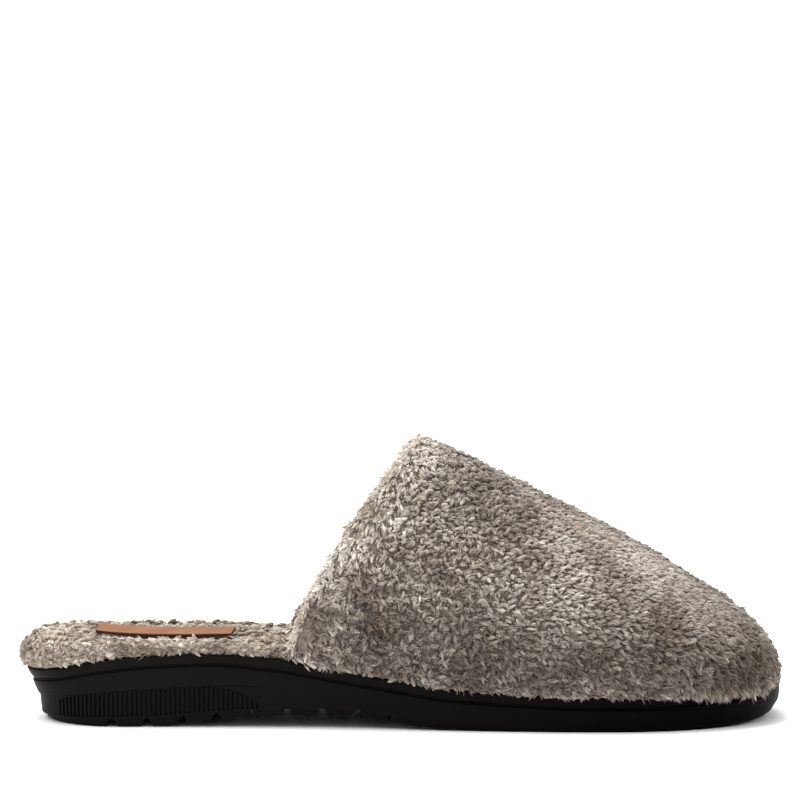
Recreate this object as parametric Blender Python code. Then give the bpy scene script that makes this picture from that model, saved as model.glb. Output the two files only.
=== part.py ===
"""Right-foot mule slipper: tufted fleece upper and footbed on a moulded rubber unit sole.

Sizes are in millimetres and meshes in metres. +X runs to the toe, +Y to the inner
side of the foot and +Z up; the floor is z = 0. Stations run along the sole as a
share of its length, from 0 at the back of the heel to 1 at the tip of the toe.
"""

import math
from typing import NamedTuple

import bmesh
import bpy
import numpy as np
from mathutils import Vector

# Driving sizes
MM = 0.001
SOLE_LENGTH = 259.0
BALL_WIDTH = 93.0
INSTEP_HEIGHT = 96.4
GAP = 0.3
SEED = 11

# Round ends of the plan: how far each reaches, as a share of the length, and how full it is
HEEL_ROUND = 0.135
HEEL_FULLNESS = 2.3
TOE_ROUND = 0.235
TOE_FULLNESS = 2.25

# Unit sole
SOLE_STATIONS = 52
SOLE_COLUMNS = 2
RIM_BAND = 4.0
LIP_ROUND = 0.7
GROOVE_FADE = (0.80, 0.92)
GROOVE_FADED_INSET = -0.75
HEEL_TAPER_END = 0.12
TOE_TAPER_START = 0.84
RIB_PANEL = (0.036, 0.312)
RIB_COUNT = 44
RIB_WIDTH = 0.75
RIB_DEPTH = 0.8
RIB_FRONT_ROUND = 0.075
RIB_BACK_ROUND = 0.030
RIB_BACK_SHIFT = 0.012
RIB_CUT_CLEAR = 1.5
PANEL_STEP_FADE = (0.295, 0.345)
PANEL_HEAD_AHEAD = 1.56
LUG_FIRST = 0.113
LUG_LAST = 0.915
LUG_PITCH = 11.9
LUG_GROOVE_WIDTH = 5.2
LUG_GROOVE_DEPTH = 2.7
LUG_ROOF_SHARE = 0.36
LUG_CUT_FLOOR = -0.8
LUG_WAVE = 2.2
LUG_WAVE_POINTS = 5
LUG_OPEN_END = 0.50
LUG_BLIND_MARGIN = 7.0

# Footbed
FOOTBED_STATIONS = 42
FOOTBED_COLUMNS = 8
FOOTBED_DISH = 2.0
FOOTBED_BANK = 2.2
FOOTBED_TUFT = 0.5
HEEL_OVERHANG = 3.7
FLANK_OVERHANG = 0.6
OVERHANG_END = (0.03, 0.12)
FOOTBED_FULLNESS = 2.0

# Upper
UPPER_ROWS = 36
UPPER_COLUMNS = 48
UPPER_WALL = 4.6
UPPER_OUTSET = 1.0
UPPER_BULGE = 1.1
UPPER_BULGE_TOP = 0.42
OUTER_WING_STATION = 0.355
INNER_WING_STATION = 0.340
OUTER_WING_CURVE = 1.50
INNER_WING_CURVE = 1.02
WING_TUCK = (0.042, 0.016)
TOE_LEAN = (0.0, 0.62)
CREST_SLOPE_REACH = 2.0
COLLAR_ROLL = 1.5
COLLAR_ROLL_SPREAD = 0.2
COLLAR_HEM_ROWS = 2
COLLAR_HEM_STEP = 0.6
TUFT_HEIGHT = 1.9
TUFT_SHORTEST = 0.3
TUFT_GAP_DEPTH = 0.25
TUFT_LEAN = 1.6
TUFT_LEAN_LEAST = 0.2
TUFT_SPACING = 4.0

# Colours and roughness of rubber, footbed fleece, upper fleece and leather
RUBBER = ((0.012, 0.012, 0.012), 0.50)
BED_FLEECE = ((0.36, 0.31, 0.26), 0.95)
UPPER_FLEECE = ((0.27, 0.24, 0.21), 0.95)
LEATHER = ((0.48, 0.20, 0.09), 0.55)

# Label
LABEL_LENGTH = 47.5
LABEL_WIDTH = 10.5
LABEL_THICKNESS = 1.1
LABEL_STATION = 0.183
LABEL_ACROSS = 3.2
LABEL_TURN = math.radians(-7.0)
LABEL_TILT = math.radians(3.0)
LABEL_CELLS = (10, 3)
LABEL_LIFT = 0.25
LABEL_BED_MARGIN = 4.0


class Table:
    """Rows of numbers with named columns, read smoothly by the first column."""

    def __init__(self, columns, rows):
        self.columns = columns
        self.rows = np.array(rows, dtype=float)
        self.keys = self.rows[:, 0]
        self.slopes = self._slopes()

    def _slopes(self):
        steps = np.diff(self.rows, axis=0) / np.diff(self.keys)[:, None]
        slopes = np.zeros_like(self.rows)
        slopes[0] = steps[0]
        slopes[-1] = steps[-1]
        before = steps[:-1]
        after = steps[1:]
        same = before * after > 0
        total = np.where(same, before + after, 1.0)
        slopes[1:-1] = np.where(same, 2.0 * before * after / total, 0.0)
        return slopes

    def at(self, column, key):
        """Value of a column at a key between the first and the last row."""
        which = self.columns.index(column)
        key = np.clip(key, self.keys[0], self.keys[-1])
        low = np.clip(np.searchsorted(self.keys, key, side="right") - 1, 0, len(self.keys) - 2)
        span = self.keys[low + 1] - self.keys[low]
        t = (key - self.keys[low]) / span
        start = self.rows[low, which]
        end = self.rows[low + 1, which]
        leave = self.slopes[low, which] * span
        arrive = self.slopes[low + 1, which] * span
        return (
            start * (1 + 2 * t) * (1 - t) ** 2
            + leave * t * (1 - t) ** 2
            + end * t * t * (3 - 2 * t)
            + arrive * t * t * (t - 1)
        )


# Plan of the rim, as shares of the ball width
PLAN = Table(
    ("station", "outer", "inner", "axis"),
    (
        (0.00, 0.355, 0.352, 0.000),
        (0.17, 0.362, 0.352, 0.000),
        (0.38, 0.396, 0.338, 0.000),
        (0.57, 0.470, 0.384, 0.000),
        (0.72, 0.510, 0.470, 0.000),
        (0.82, 0.516, 0.498, 0.008),
        (1.00, 0.500, 0.505, 0.045),
    ),
)

# Heights above the floor: top of the rim, lift of the tread, and top of the footbed
PROFILE = Table(
    ("station", "rim", "lift", "bed"),
    (
        (0.00, 17.9, 0.0, 29.6),
        (0.04, 19.3, 0.0, 30.0),
        (0.10, 22.4, 0.0, 29.6),
        (0.17, 24.4, 0.4, 29.3),
        (0.25, 25.3, 2.2, 29.6),
        (0.33, 23.6, 3.9, 28.6),
        (0.42, 19.7, 4.2, 25.3),
        (0.48, 17.3, 2.6, 22.9),
        (0.55, 14.5, 0.5, 20.0),
        (0.62, 13.2, 0.0, 18.5),
        (0.74, 11.9, 0.0, 17.2),
        (0.86, 11.8, 0.0, 17.0),
        (0.94, 12.2, 0.1, 17.4),
        (1.00, 13.0, 1.4, 18.2),
    ),
)


class Level(NamedTuple):
    """One line round the side of the sole.

    share is its height between the tread and the groove, rise a height added to that,
    and heel, flank and toe how far it is set in from the rim's plan.
    """

    name: str
    share: float
    rise: float
    heel: float
    flank: float
    toe: float


SOLE_LEVELS = (
    Level("tread side", 0.13, 0.0, 6.2, 2.9, 2.4),
    Level("panel foot", 0.18, 0.0, 4.9, 2.4, 1.9),
    Level("panel head", 0.63, 0.0, 4.2, 2.1, -0.3),
    Level("wall foot", 0.66, 0.0, 3.5, 1.5, -0.4),
    Level("wall head", 1.00, -0.4, 1.7, 0.9, -0.7),
    Level("groove low", 1.00, 0.0, 2.7, 1.9, -0.75),
    Level("groove high", 1.00, 0.4, 2.7, 1.9, -0.75),
    Level("band foot", 1.00, 0.8, 1.4, 0.7, -0.8),
    Level("band head", 1.00, RIM_BAND - LIP_ROUND, 0.0, 0.0, -0.75),
    Level("lip", 1.00, RIM_BAND, LIP_ROUND, LIP_ROUND, 0.0),
)
TREAD_EDGE = Level("tread edge", 0.0, 0.0, 8.6, 3.9, 5.0)
PANEL_FOOT = SOLE_LEVELS[1]
PANEL_HEAD = SOLE_LEVELS[2]


class Round(NamedTuple):
    """One line round the edge of the footbed: how far in, and its share of the thickness."""

    inset: float
    share: float


FOOTBED_EDGE = (
    Round(0.7, 0.15),
    Round(0.0, 0.45),
    Round(0.9, 0.77),
)
FOOTBED_UNDER = Round(2.6, 0.0)
FOOTBED_CROWN = Round(2.7, 1.0)

# Crest of the upper from the collar to the toe: station, height as a share of the instep
# height, distance towards the inner side, and how full the two flanks are
CREST = Table(
    ("along", "station", "height", "across", "outer", "inner"),
    (
        (0.00, 0.524, 1.012, 2.5, 2.25, 2.40),
        (0.06, 0.546, 0.986, 2.8, 2.22, 2.40),
        (0.15, 0.587, 0.934, 3.2, 2.15, 2.40),
        (0.28, 0.645, 0.856, 3.8, 2.08, 2.40),
        (0.46, 0.726, 0.747, 4.6, 2.05, 2.38),
        (0.64, 0.807, 0.631, 5.2, 2.05, 2.35),
        (0.82, 0.880, 0.512, 5.2, 2.15, 2.30),
        (1.00, 0.946, 0.404, 4.6, 2.22, 2.22),
    ),
)


def smooth_step(low, high, value):
    """0 below low, 1 above high and a soft ramp between."""
    t = np.clip((value - low) / (high - low), 0.0, 1.0)
    return t * t * (3 - 2 * t)


def arc(share, fullness):
    """Height of a rounded quarter at a share of its reach."""
    return (1 - (1 - np.clip(share, 0, 1)) ** fullness) ** (1 / fullness)


def rim_offset(station, side):
    """Distance of the rim from the heel axis; side is -1 outside and 1 inside the foot."""
    ends = arc(station / HEEL_ROUND, HEEL_FULLNESS) * arc((1 - station) / TOE_ROUND, TOE_FULLNESS)
    width = np.where(side < 0, PLAN.at("outer", station), PLAN.at("inner", station))
    return BALL_WIDTH * (PLAN.at("axis", station) + side * width * ends)


def plan_loop(count):
    """Stations and sides of a loop from the heel along the outer side and back along the inner."""
    turn = np.arange(2 * count) * math.pi / count
    station = (1 - np.cos(turn)) / 2
    side = np.where(turn <= math.pi, -1.0, 1.0)
    return station, side


def offset_plan(station, side, outset):
    """Points of the rim's plan moved outwards by a distance, in a closed loop."""
    x = SOLE_LENGTH * station
    y = rim_offset(station, side)
    along_x = np.roll(x, -1) - np.roll(x, 1)
    along_y = np.roll(y, -1) - np.roll(y, 1)
    length = np.hypot(along_x, along_y)
    return x + outset * along_y / length, y - outset * along_x / length


def level_inset(level, station):
    """How far a level of the sole's side is set in at a station."""
    back = 1 - smooth_step(0.0, HEEL_TAPER_END, station)
    front = smooth_step(TOE_TAPER_START, 1.0, station)
    flank = level.flank
    if level.name == "panel head":
        ahead = smooth_step(PANEL_STEP_FADE[0], PANEL_STEP_FADE[1], station)
        flank = flank + (PANEL_HEAD_AHEAD - flank) * ahead
    inset = flank + (level.heel - flank) * back + (level.toe - flank) * front
    if level.name.startswith("groove"):
        fade = smooth_step(GROOVE_FADE[0], GROOVE_FADE[1], station)
        inset = inset + (GROOVE_FADED_INSET - inset) * fade
    return inset


def level_height(level, station):
    """Height of a level of the sole's side at a station."""
    lift = PROFILE.at("lift", station)
    groove = PROFILE.at("rim", station) - RIM_BAND
    return lift + level.share * (groove - lift) + level.rise


def level_ring(level, station, side):
    """Points of one level round the sole."""
    x, y = offset_plan(station, side, -level_inset(level, station))
    return np.column_stack((x, y, level_height(level, station)))


def cross_grid(ring, columns, shape):
    """Grid across a loop, one row a station, from the outer edge to the inner one.

    shape(row, share, point) moves a point between the two edges.
    """
    count = len(ring) // 2
    share = np.linspace(0, 1, columns + 1)
    grid = np.empty((count + 1, columns + 1, 3))
    for row in range(count + 1):
        outer = ring[row]
        inner = ring[-row % len(ring)]
        line = outer + share[:, None] * (inner - outer)
        grid[row] = shape(row, share, line)
    return grid


def add_grid(bm, grid):
    """A grid of faces through an array of points, with points that coincide joined."""
    rows, columns = grid.shape[0] - 1, grid.shape[1] - 1
    made = bmesh.ops.create_grid(bm, x_segments=columns, y_segments=rows, size=1)["verts"]
    for vert, point in zip(made, grid.reshape(-1, 3)):
        vert.co = Vector(point) * MM
    joined = bmesh.ops.find_doubles(bm, verts=made, dist=1e-7)["targetmap"]
    kept = [joined.get(vert, vert) for vert in made]
    bmesh.ops.weld_verts(bm, targetmap=joined)
    return [kept[row * (columns + 1):(row + 1) * (columns + 1)] for row in range(rows + 1)]


def lens_loop(grid):
    """Edge of a grid that ends in a point at the heel and at the toe."""
    return [row[0] for row in grid] + [row[-1] for row in grid[-2:0:-1]]


def hood_loop(grid):
    """Edge of a grid that is folded together at the toe: collar, inner hem, outer hem."""
    return list(grid[0]) + [row[-1] for row in grid[1:]] + [row[0] for row in grid[-2:0:-1]]


def loop_edges(bm, loop):
    """Edges of a closed loop of vertices."""
    return [bm.edges.get((a, b)) for a, b in zip(loop, loop[1:] + loop[:1])]


def extrude_loop(bm, loop, points):
    """Extrude a loop and move the new loop to the given points."""
    place = {vert: index for index, vert in enumerate(loop)}
    made = bmesh.ops.extrude_edge_only(bm, edges=loop_edges(bm, loop))["geom"]
    fresh = [None] * len(loop)
    for vert in made:
        if isinstance(vert, bmesh.types.BMVert):
            for edge in vert.link_edges:
                index = place.get(edge.other_vert(vert))
                if index is not None:
                    fresh[index] = vert
    for vert, point in zip(fresh, points):
        vert.co = Vector(point) * MM
    return fresh


def bridge_to_half(bm, loop, half):
    """Close the strip between a loop and one with half as many points."""
    for index, near in enumerate(half):
        after = half[(index + 1) % len(half)]
        first, second, third = (loop[(2 * index + step) % len(loop)] for step in range(3))
        bm.faces.new((first, second, near))
        bm.faces.new((second, after, near))
        bm.faces.new((second, third, after))


def lofted(bottom, rings, top):
    """A closed body from a bottom grid, rings up its side and a top grid on the last ring."""
    bm = bmesh.new()
    loop = lens_loop(add_grid(bm, bottom))
    for ring in rings:
        loop = extrude_loop(bm, loop, ring)
    add_grid(bm, top)
    bmesh.ops.remove_doubles(bm, verts=bm.verts, dist=1e-6)
    return bm


def make_object(name, bm, finish, root):
    """Put a mesh in the scene with its own material."""
    bmesh.ops.recalc_face_normals(bm, faces=bm.faces)
    mesh = bpy.data.meshes.new(name)
    bm.to_mesh(mesh)
    bm.free()
    colour, roughness = finish
    material = bpy.data.materials.new(name)
    material.use_nodes = True
    shader = material.node_tree.nodes["Principled BSDF"]
    shader.inputs["Base Color"].default_value = (*colour, 1.0)
    shader.inputs["Roughness"].default_value = roughness
    mesh.materials.append(material)
    made = bpy.data.objects.new(name, mesh)
    bpy.context.scene.collection.objects.link(made)
    made.parent = root
    return made


def make_cutter(name, bm, root):
    """A body that only cuts."""
    bmesh.ops.recalc_face_normals(bm, faces=bm.faces)
    mesh = bpy.data.meshes.new(name)
    bm.to_mesh(mesh)
    bm.free()
    cutter = bpy.data.objects.new(name, mesh)
    cutter.hide_render = True
    cutter.display_type = "WIRE"
    bpy.context.scene.collection.objects.link(cutter)
    cutter.parent = root
    return cutter


def cut(target, cutter):
    """Cut a body out of another."""
    modifier = target.modifiers.new(cutter.name, "BOOLEAN")
    modifier.operation = "DIFFERENCE"
    modifier.solver = "EXACT"
    modifier.object = cutter


def rim_frame(station, side):
    """Point on the rim's plan with the outward and forward directions there."""
    near = np.array([station - 1e-4, station, station + 1e-4])
    x = SOLE_LENGTH * near
    y = rim_offset(near, np.full(3, float(side)))
    forward = Vector((x[2] - x[0], y[2] - y[0])).normalized()
    outward = Vector((side * -forward.y, side * forward.x))
    return Vector((x[1], y[1])), outward, forward


def rib_bars(side):
    """Bars between the ribs of the heel panel on one side, each from its foot to its head."""
    first, last = RIB_PANEL
    bars = []
    for index in range(RIB_COUNT):
        station = first + (last - first) * (index + 0.5) / RIB_COUNT
        foot = level_height(PANEL_FOOT, station)
        head = level_height(PANEL_HEAD, station)
        front = arc((last - station) / RIB_FRONT_ROUND, 2.0)
        back = arc((station - first + RIB_BACK_SHIFT) / RIB_BACK_ROUND, 2.0)
        bars.append((station, side, foot, foot + (head - foot) * min(front, back)))
    return bars


def build_rib_cutter(root):
    """Upright bars that leave ribs standing in the heel panel."""
    bm = bmesh.new()
    for station, side, low, high in rib_bars(-1) + rib_bars(1):
        rim, outward, forward = rim_frame(station, side)
        foot = level_height(PANEL_FOOT, station)
        head = level_height(PANEL_HEAD, station)
        for vert in bmesh.ops.create_cube(bm, size=1)["verts"]:
            height = high if vert.co.z > 0 else low
            share = (height - foot) / (head - foot)
            inset_foot = level_inset(PANEL_FOOT, station)
            inset_head = level_inset(PANEL_HEAD, station)
            wall = inset_foot + (inset_head - inset_foot) * share
            out = RIB_CUT_CLEAR - wall if vert.co.y > 0 else -RIB_DEPTH - wall
            plan = rim + outward * out + forward * vert.co.x * RIB_WIDTH
            vert.co = Vector((plan.x, plan.y, height)) * MM
    return make_cutter("rib gaps", bm, root)


def lug_reach(middle):
    """Ends of a groove across the tread: past the sides at the heel and waist, short of them ahead."""
    station = middle / SOLE_LENGTH
    outer = float(rim_offset(station, -1.0))
    inner = float(rim_offset(station, 1.0))
    margin = LUG_BLIND_MARGIN if station > LUG_OPEN_END else -LUG_BLIND_MARGIN
    return outer + margin, inner - margin


def build_lug_cutter(root):
    """Wavy bars across the tread that part it into lugs."""
    bm = bmesh.new()
    first = SOLE_LENGTH * LUG_FIRST
    count = int(SOLE_LENGTH * (LUG_LAST - LUG_FIRST) / LUG_PITCH) + 1
    wave = LUG_WAVE * np.sin(np.linspace(0, 2 * math.pi, LUG_WAVE_POINTS))
    half = LUG_GROOVE_WIDTH / 2
    for index in range(count):
        middle = first + index * LUG_PITCH
        lift = float(PROFILE.at("lift", middle / SOLE_LENGTH))
        floor = lift + LUG_CUT_FLOOR
        roof = lift + LUG_GROOVE_DEPTH
        across = np.linspace(*lug_reach(middle), LUG_WAVE_POINTS)
        narrow = half * LUG_ROOF_SHARE
        section = ((-half, floor), (half, floor), (narrow, roof), (-narrow, roof))
        loop = [bm.verts.new(Vector((middle + wave[0] + x, across[0], z)) * MM) for x, z in section]
        bm.faces.new(loop)
        for shift, y in zip(wave[1:], across[1:]):
            loop = extrude_loop(bm, loop, [(middle + shift + x, y, z) for x, z in section])
        bm.faces.new(loop)
    return make_cutter("lug grooves", bm, root)


def build_outsole(root):
    """Moulded unit sole with rim band, groove, ribbed heel panel and lugged tread."""
    station, side = plan_loop(SOLE_STATIONS)
    tread = cross_grid(level_ring(TREAD_EDGE, station, side), SOLE_COLUMNS, lambda row, share, line: line)
    rings = [level_ring(level, station, side) for level in SOLE_LEVELS]
    top = cross_grid(rings[-1], SOLE_COLUMNS, lambda row, share, line: line)
    sole = make_object("outsole", lofted(tread, rings, top), RUBBER, root)
    cut(sole, build_rib_cutter(root))
    cut(sole, build_lug_cutter(root))
    return sole


def footbed_outset(station):
    """Distance of the footbed's edge from the rim: outside it behind the upper, inside it within."""
    back = 1 - smooth_step(OVERHANG_END[0], OVERHANG_END[1], station)
    loose = FLANK_OVERHANG + (HEEL_OVERHANG - FLANK_OVERHANG) * back
    held = UPPER_OUTSET - UPPER_WALL - 2 * GAP
    inside = smooth_step(INNER_WING_STATION - WING_TUCK[0], INNER_WING_STATION - WING_TUCK[1], station)
    return loose + (held - loose) * inside


def footbed_ring(edge, station, side):
    """Points of one line round the footbed's edge."""
    x, y = offset_plan(station, side, footbed_outset(station) - edge.inset)
    under = PROFILE.at("rim", station) + GAP
    return np.column_stack((x, y, under + edge.share * (PROFILE.at("bed", station) - under)))


def footbed_top(station, share):
    """Height of the footbed's top above its edge, dished and banked up to the inner side."""
    ends = arc(station / HEEL_ROUND, FOOTBED_FULLNESS) * arc((1 - station) / TOE_ROUND, FOOTBED_FULLNESS)
    across = 2 * share - 1
    return ends * (FOOTBED_BANK * across - FOOTBED_DISH) * (1 - across**2)


def under_label(x, y):
    """Where the footbed is pressed flat by the label."""
    from_x = x - LABEL_STATION * SOLE_LENGTH
    from_y = y - LABEL_ACROSS
    u = from_x * math.cos(LABEL_TURN) + from_y * math.sin(LABEL_TURN)
    v = from_y * math.cos(LABEL_TURN) - from_x * math.sin(LABEL_TURN)
    long_half = LABEL_LENGTH / 2 + LABEL_BED_MARGIN
    wide_half = LABEL_WIDTH / 2 + LABEL_BED_MARGIN
    return (np.abs(u) < long_half) & (np.abs(v) < wide_half)


def build_insole(root):
    """Footbed covered with fleece, soft at the edge and dished on top."""
    rng = np.random.default_rng(SEED)
    station, side = plan_loop(FOOTBED_STATIONS)
    under = cross_grid(footbed_ring(FOOTBED_UNDER, station, side), 2, lambda row, share, line: line)
    rings = [footbed_ring(edge, station, side) for edge in FOOTBED_EDGE]
    crown = footbed_ring(FOOTBED_CROWN, station, side)

    def shape(row, share, line):
        tufts = rng.uniform(-FOOTBED_TUFT, FOOTBED_TUFT, len(share))
        tufts[[0, -1]] = 0
        tufts[under_label(line[:, 0], line[:, 1])] = 0
        height = footbed_top(station[row], share) + tufts * (0 < row < FOOTBED_STATIONS)
        return line + np.outer(height, (0, 0, 1))

    top = cross_grid(crown, FOOTBED_COLUMNS, shape)
    return make_object("insole", lofted(under, rings + [crown], top), BED_FLEECE, root)


def upper_skin(along, round_share):
    """Outer surface of the upper without its pile.

    along runs from the collar to the toe, and round_share from the outer hem over the
    crest to the inner hem.
    """
    side = np.where(round_share <= 0.5, -1.0, 1.0)
    rise = 1 - np.abs(2 * round_share - 1)
    wing_start = np.where(side < 0, OUTER_WING_STATION, INNER_WING_STATION)
    wing_curve = np.where(side < 0, OUTER_WING_CURVE, INNER_WING_CURVE)
    turn_start = np.arccos(1 - 2 * wing_start)
    station = (1 - np.cos(turn_start + (math.pi - turn_start) * along)) / 2
    fullness = np.where(side < 0, CREST.at("outer", along), CREST.at("inner", along))
    angle = rise * math.pi / 2
    inwards = 1 - np.cos(angle) ** (2 / fullness)
    upwards = np.sin(angle) ** (2 / fullness)
    base_x, base_y, out_x, out_y = hem_frame(station, side)
    base_z = PROFILE.at("rim", station) + GAP
    crest_x = SOLE_LENGTH * CREST.at("station", along)
    crest_y = CREST.at("across", along)
    crest_z = INSTEP_HEIGHT * CREST.at("height", along)
    lean = smooth_step(TOE_LEAN[0], TOE_LEAN[1], along)
    forward = (1 - lean) * upwards**wing_curve + lean * inwards
    x = base_x + (crest_x - base_x) * forward
    y = base_y + (crest_y - base_y) * inwards
    slope = crest_slope(along)
    z = base_z + (crest_z - base_z) * upwards
    z = z + lean * slope * (x - crest_x) * upwards**CREST_SLOPE_REACH
    bulge = UPPER_BULGE * np.sin(np.clip(rise / UPPER_BULGE_TOP, 0, 1) * math.pi)
    return np.stack((x + out_x * bulge, y + out_y * bulge, z), axis=-1)


def hem_frame(station, side):
    """Point of the upper's hem on the rim, and the outward direction there."""
    step = 2e-4
    ahead = np.minimum(station + step, 1.0)
    behind = np.maximum(station - step, 0.0)
    dx = SOLE_LENGTH * (ahead - behind)
    dy = rim_offset(ahead, side) - rim_offset(behind, side)
    tip = station > 1 - 1e-9
    length = np.hypot(dx, dy)
    out_x = np.where(tip, 1.0, side * -dy / length)
    out_y = np.where(tip, 0.0, side * dx / length)
    x = SOLE_LENGTH * station + UPPER_OUTSET * out_x
    y = rim_offset(station, side) + UPPER_OUTSET * out_y
    return x, y, out_x, out_y


def crest_slope(along):
    """Rise of the crest over its run at a place along it."""
    ahead = np.minimum(along + 0.01, 1.0)
    behind = np.maximum(along - 0.01, 0.0)
    rise = INSTEP_HEIGHT * (CREST.at("height", ahead) - CREST.at("height", behind))
    run = SOLE_LENGTH * (CREST.at("station", ahead) - CREST.at("station", behind))
    return rise / run


def unit(vectors):
    """Vectors of length one, with those of no length left as they are."""
    length = np.linalg.norm(vectors, axis=-1, keepdims=True)
    return vectors / np.where(length > 1e-12, length, 1.0)


def upper_grid(rows, columns):
    """Smooth outer grid of the upper with its normals."""
    along, around = np.meshgrid(np.linspace(0, 1, rows + 1), np.linspace(0, 1, columns + 1), indexing="ij")
    points = upper_skin(along, around)
    step = 1e-3
    ahead = upper_skin(np.minimum(along + step, 1), around)
    behind = upper_skin(np.maximum(along - step, 0), around)
    over = upper_skin(along, np.minimum(around + step, 1))
    back = upper_skin(along, np.maximum(around - step, 0))
    normals = unit(np.cross(over - back, ahead - behind))
    normals[-1] = unit(normals[-1] + normals[-1, ::-1])
    normals[-1, columns // 2] = normals[-2, columns // 2]
    outside = np.sign((normals * (points - points.mean(axis=(0, 1)))).sum())
    return points, normals * outside


def with_pile(points, normals):
    """Outer grid with tufts that stand on it and lean along it, and a raised hem at the collar."""
    rng = np.random.default_rng(SEED)
    row, column = np.indices(points.shape[:2])
    tip = (row + column) % 2
    flow = np.gradient(points, axis=0)
    across = np.linalg.norm(np.gradient(points, axis=1), axis=-1)
    room = np.clip(np.minimum(np.linalg.norm(flow, axis=-1), across) / TUFT_SPACING, 0, 1) ** 2
    height = TUFT_HEIGHT * room * (tip * rng.uniform(TUFT_SHORTEST, 1.0, tip.shape) - TUFT_GAP_DEPTH)
    lean = TUFT_LEAN * room * tip * rng.uniform(TUFT_LEAN_LEAST, 1.0, tip.shape)
    height[-1] = (height[-1] + height[-1, ::-1]) / 2
    lean[(0, -1), :] = 0
    lean[:, (0, -1)] = 0
    height[:COLLAR_HEM_ROWS] = COLLAR_HEM_STEP
    height[:, (0, -1)] = np.abs(height[:, (0, -1)])
    piled = points + normals * height[..., None] + unit(flow) * lean[..., None]
    piled[:, (0, -1), 2] = points[:, (0, -1), 2]
    return piled


def build_upper(root):
    """Closed-toe upper, hollow, open at the collar and underneath."""
    smooth, normals = upper_grid(UPPER_ROWS, UPPER_COLUMNS)
    coarse, coarse_normals = upper_grid(UPPER_ROWS // 2, UPPER_COLUMNS // 2)
    lining = coarse - coarse_normals * UPPER_WALL
    lining[:, (0, -1), 2] = coarse[:, (0, -1), 2]
    middle = smooth - normals * UPPER_WALL / 2
    middle[:, (0, -1), 2] = smooth[:, (0, -1), 2]
    back = smooth[0] - smooth[1]
    back[:, 1] *= COLLAR_ROLL_SPREAD
    middle[0, 1:-1] += unit(back)[1:-1] * COLLAR_ROLL
    bm = bmesh.new()
    outer_loop = hood_loop(add_grid(bm, with_pile(smooth, normals)))
    inner_loop = hood_loop(add_grid(bm, lining))
    edge_loop = extrude_loop(bm, outer_loop, hood_loop(middle.tolist()))
    bridge_to_half(bm, edge_loop, inner_loop)
    return make_object("upper", bm, UPPER_FLEECE, root)


def footbed_height(x, y):
    """Height of the footbed's top at a place."""
    station = x / SOLE_LENGTH
    inset = FOOTBED_CROWN.inset - footbed_outset(station)
    outer = rim_offset(station, -1.0) + inset
    inner = rim_offset(station, 1.0) - inset
    share = (y - outer) / (inner - outer)
    return PROFILE.at("bed", station) + footbed_top(station, share)


def build_label(root):
    """Plain leather label that lies on the heel of the footbed."""
    long_cells, wide_cells = LABEL_CELLS
    grid = np.empty((long_cells + 1, wide_cells + 1, 3))
    for row in range(long_cells + 1):
        for column in range(wide_cells + 1):
            u = (row / long_cells - 0.5) * LABEL_LENGTH
            v = (column / wide_cells - 0.5) * LABEL_WIDTH
            x = LABEL_STATION * SOLE_LENGTH + u * math.cos(LABEL_TURN) - v * math.sin(LABEL_TURN)
            y = LABEL_ACROSS + u * math.sin(LABEL_TURN) + v * math.cos(LABEL_TURN)
            lift = LABEL_LIFT + GAP + v * math.tan(LABEL_TILT)
            grid[row, column] = (x, y, footbed_height(x, y) + lift)
    bm = bmesh.new()
    add_grid(bm, grid)
    label = make_object("label", bm, LEATHER, root)
    thicken = label.modifiers.new("thickness", "SOLIDIFY")
    thicken.thickness = LABEL_THICKNESS * MM
    thicken.offset = 1.0
    return label


def centre_on_floor(root, pieces):
    """Move the root so that the slipper stands on the floor with its middle at the origin."""
    bpy.context.view_layer.update()
    graph = bpy.context.evaluated_depsgraph_get()
    corners = []
    for piece in pieces:
        shown = piece.evaluated_get(graph)
        corners += [shown.matrix_world @ Vector(corner) for corner in shown.bound_box]
    low = [min(corner[axis] for corner in corners) for axis in range(3)]
    high = [max(corner[axis] for corner in corners) for axis in range(3)]
    root.location = (-(low[0] + high[0]) / 2, -(low[1] + high[1]) / 2, -low[2])
    bpy.context.view_layer.update()


def main():
    for old in list(bpy.data.objects):
        bpy.data.objects.remove(old, do_unlink=True)
    root = bpy.data.objects.new("slipper", None)
    bpy.context.scene.collection.objects.link(root)
    pieces = [build_outsole(root), build_insole(root), build_upper(root), build_label(root)]
    centre_on_floor(root, pieces)


main()
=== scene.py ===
"""Looks of a right-foot mule slipper: fleece upper and footbed, leather label, rubber sole.

Sizes are in millimetres in the slipper's own lines, with +X to the toe, +Y to the inner
side of the foot and +Z up. Last.place() takes them into the frame, in metres. Stations
run along the sole as a share of its length, from 0 at the heel to 1 at the toe.
"""

import logging
import math
from dataclasses import dataclass, field
from enum import Enum
from functools import cached_property
from typing import Any, Callable, NamedTuple

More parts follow.
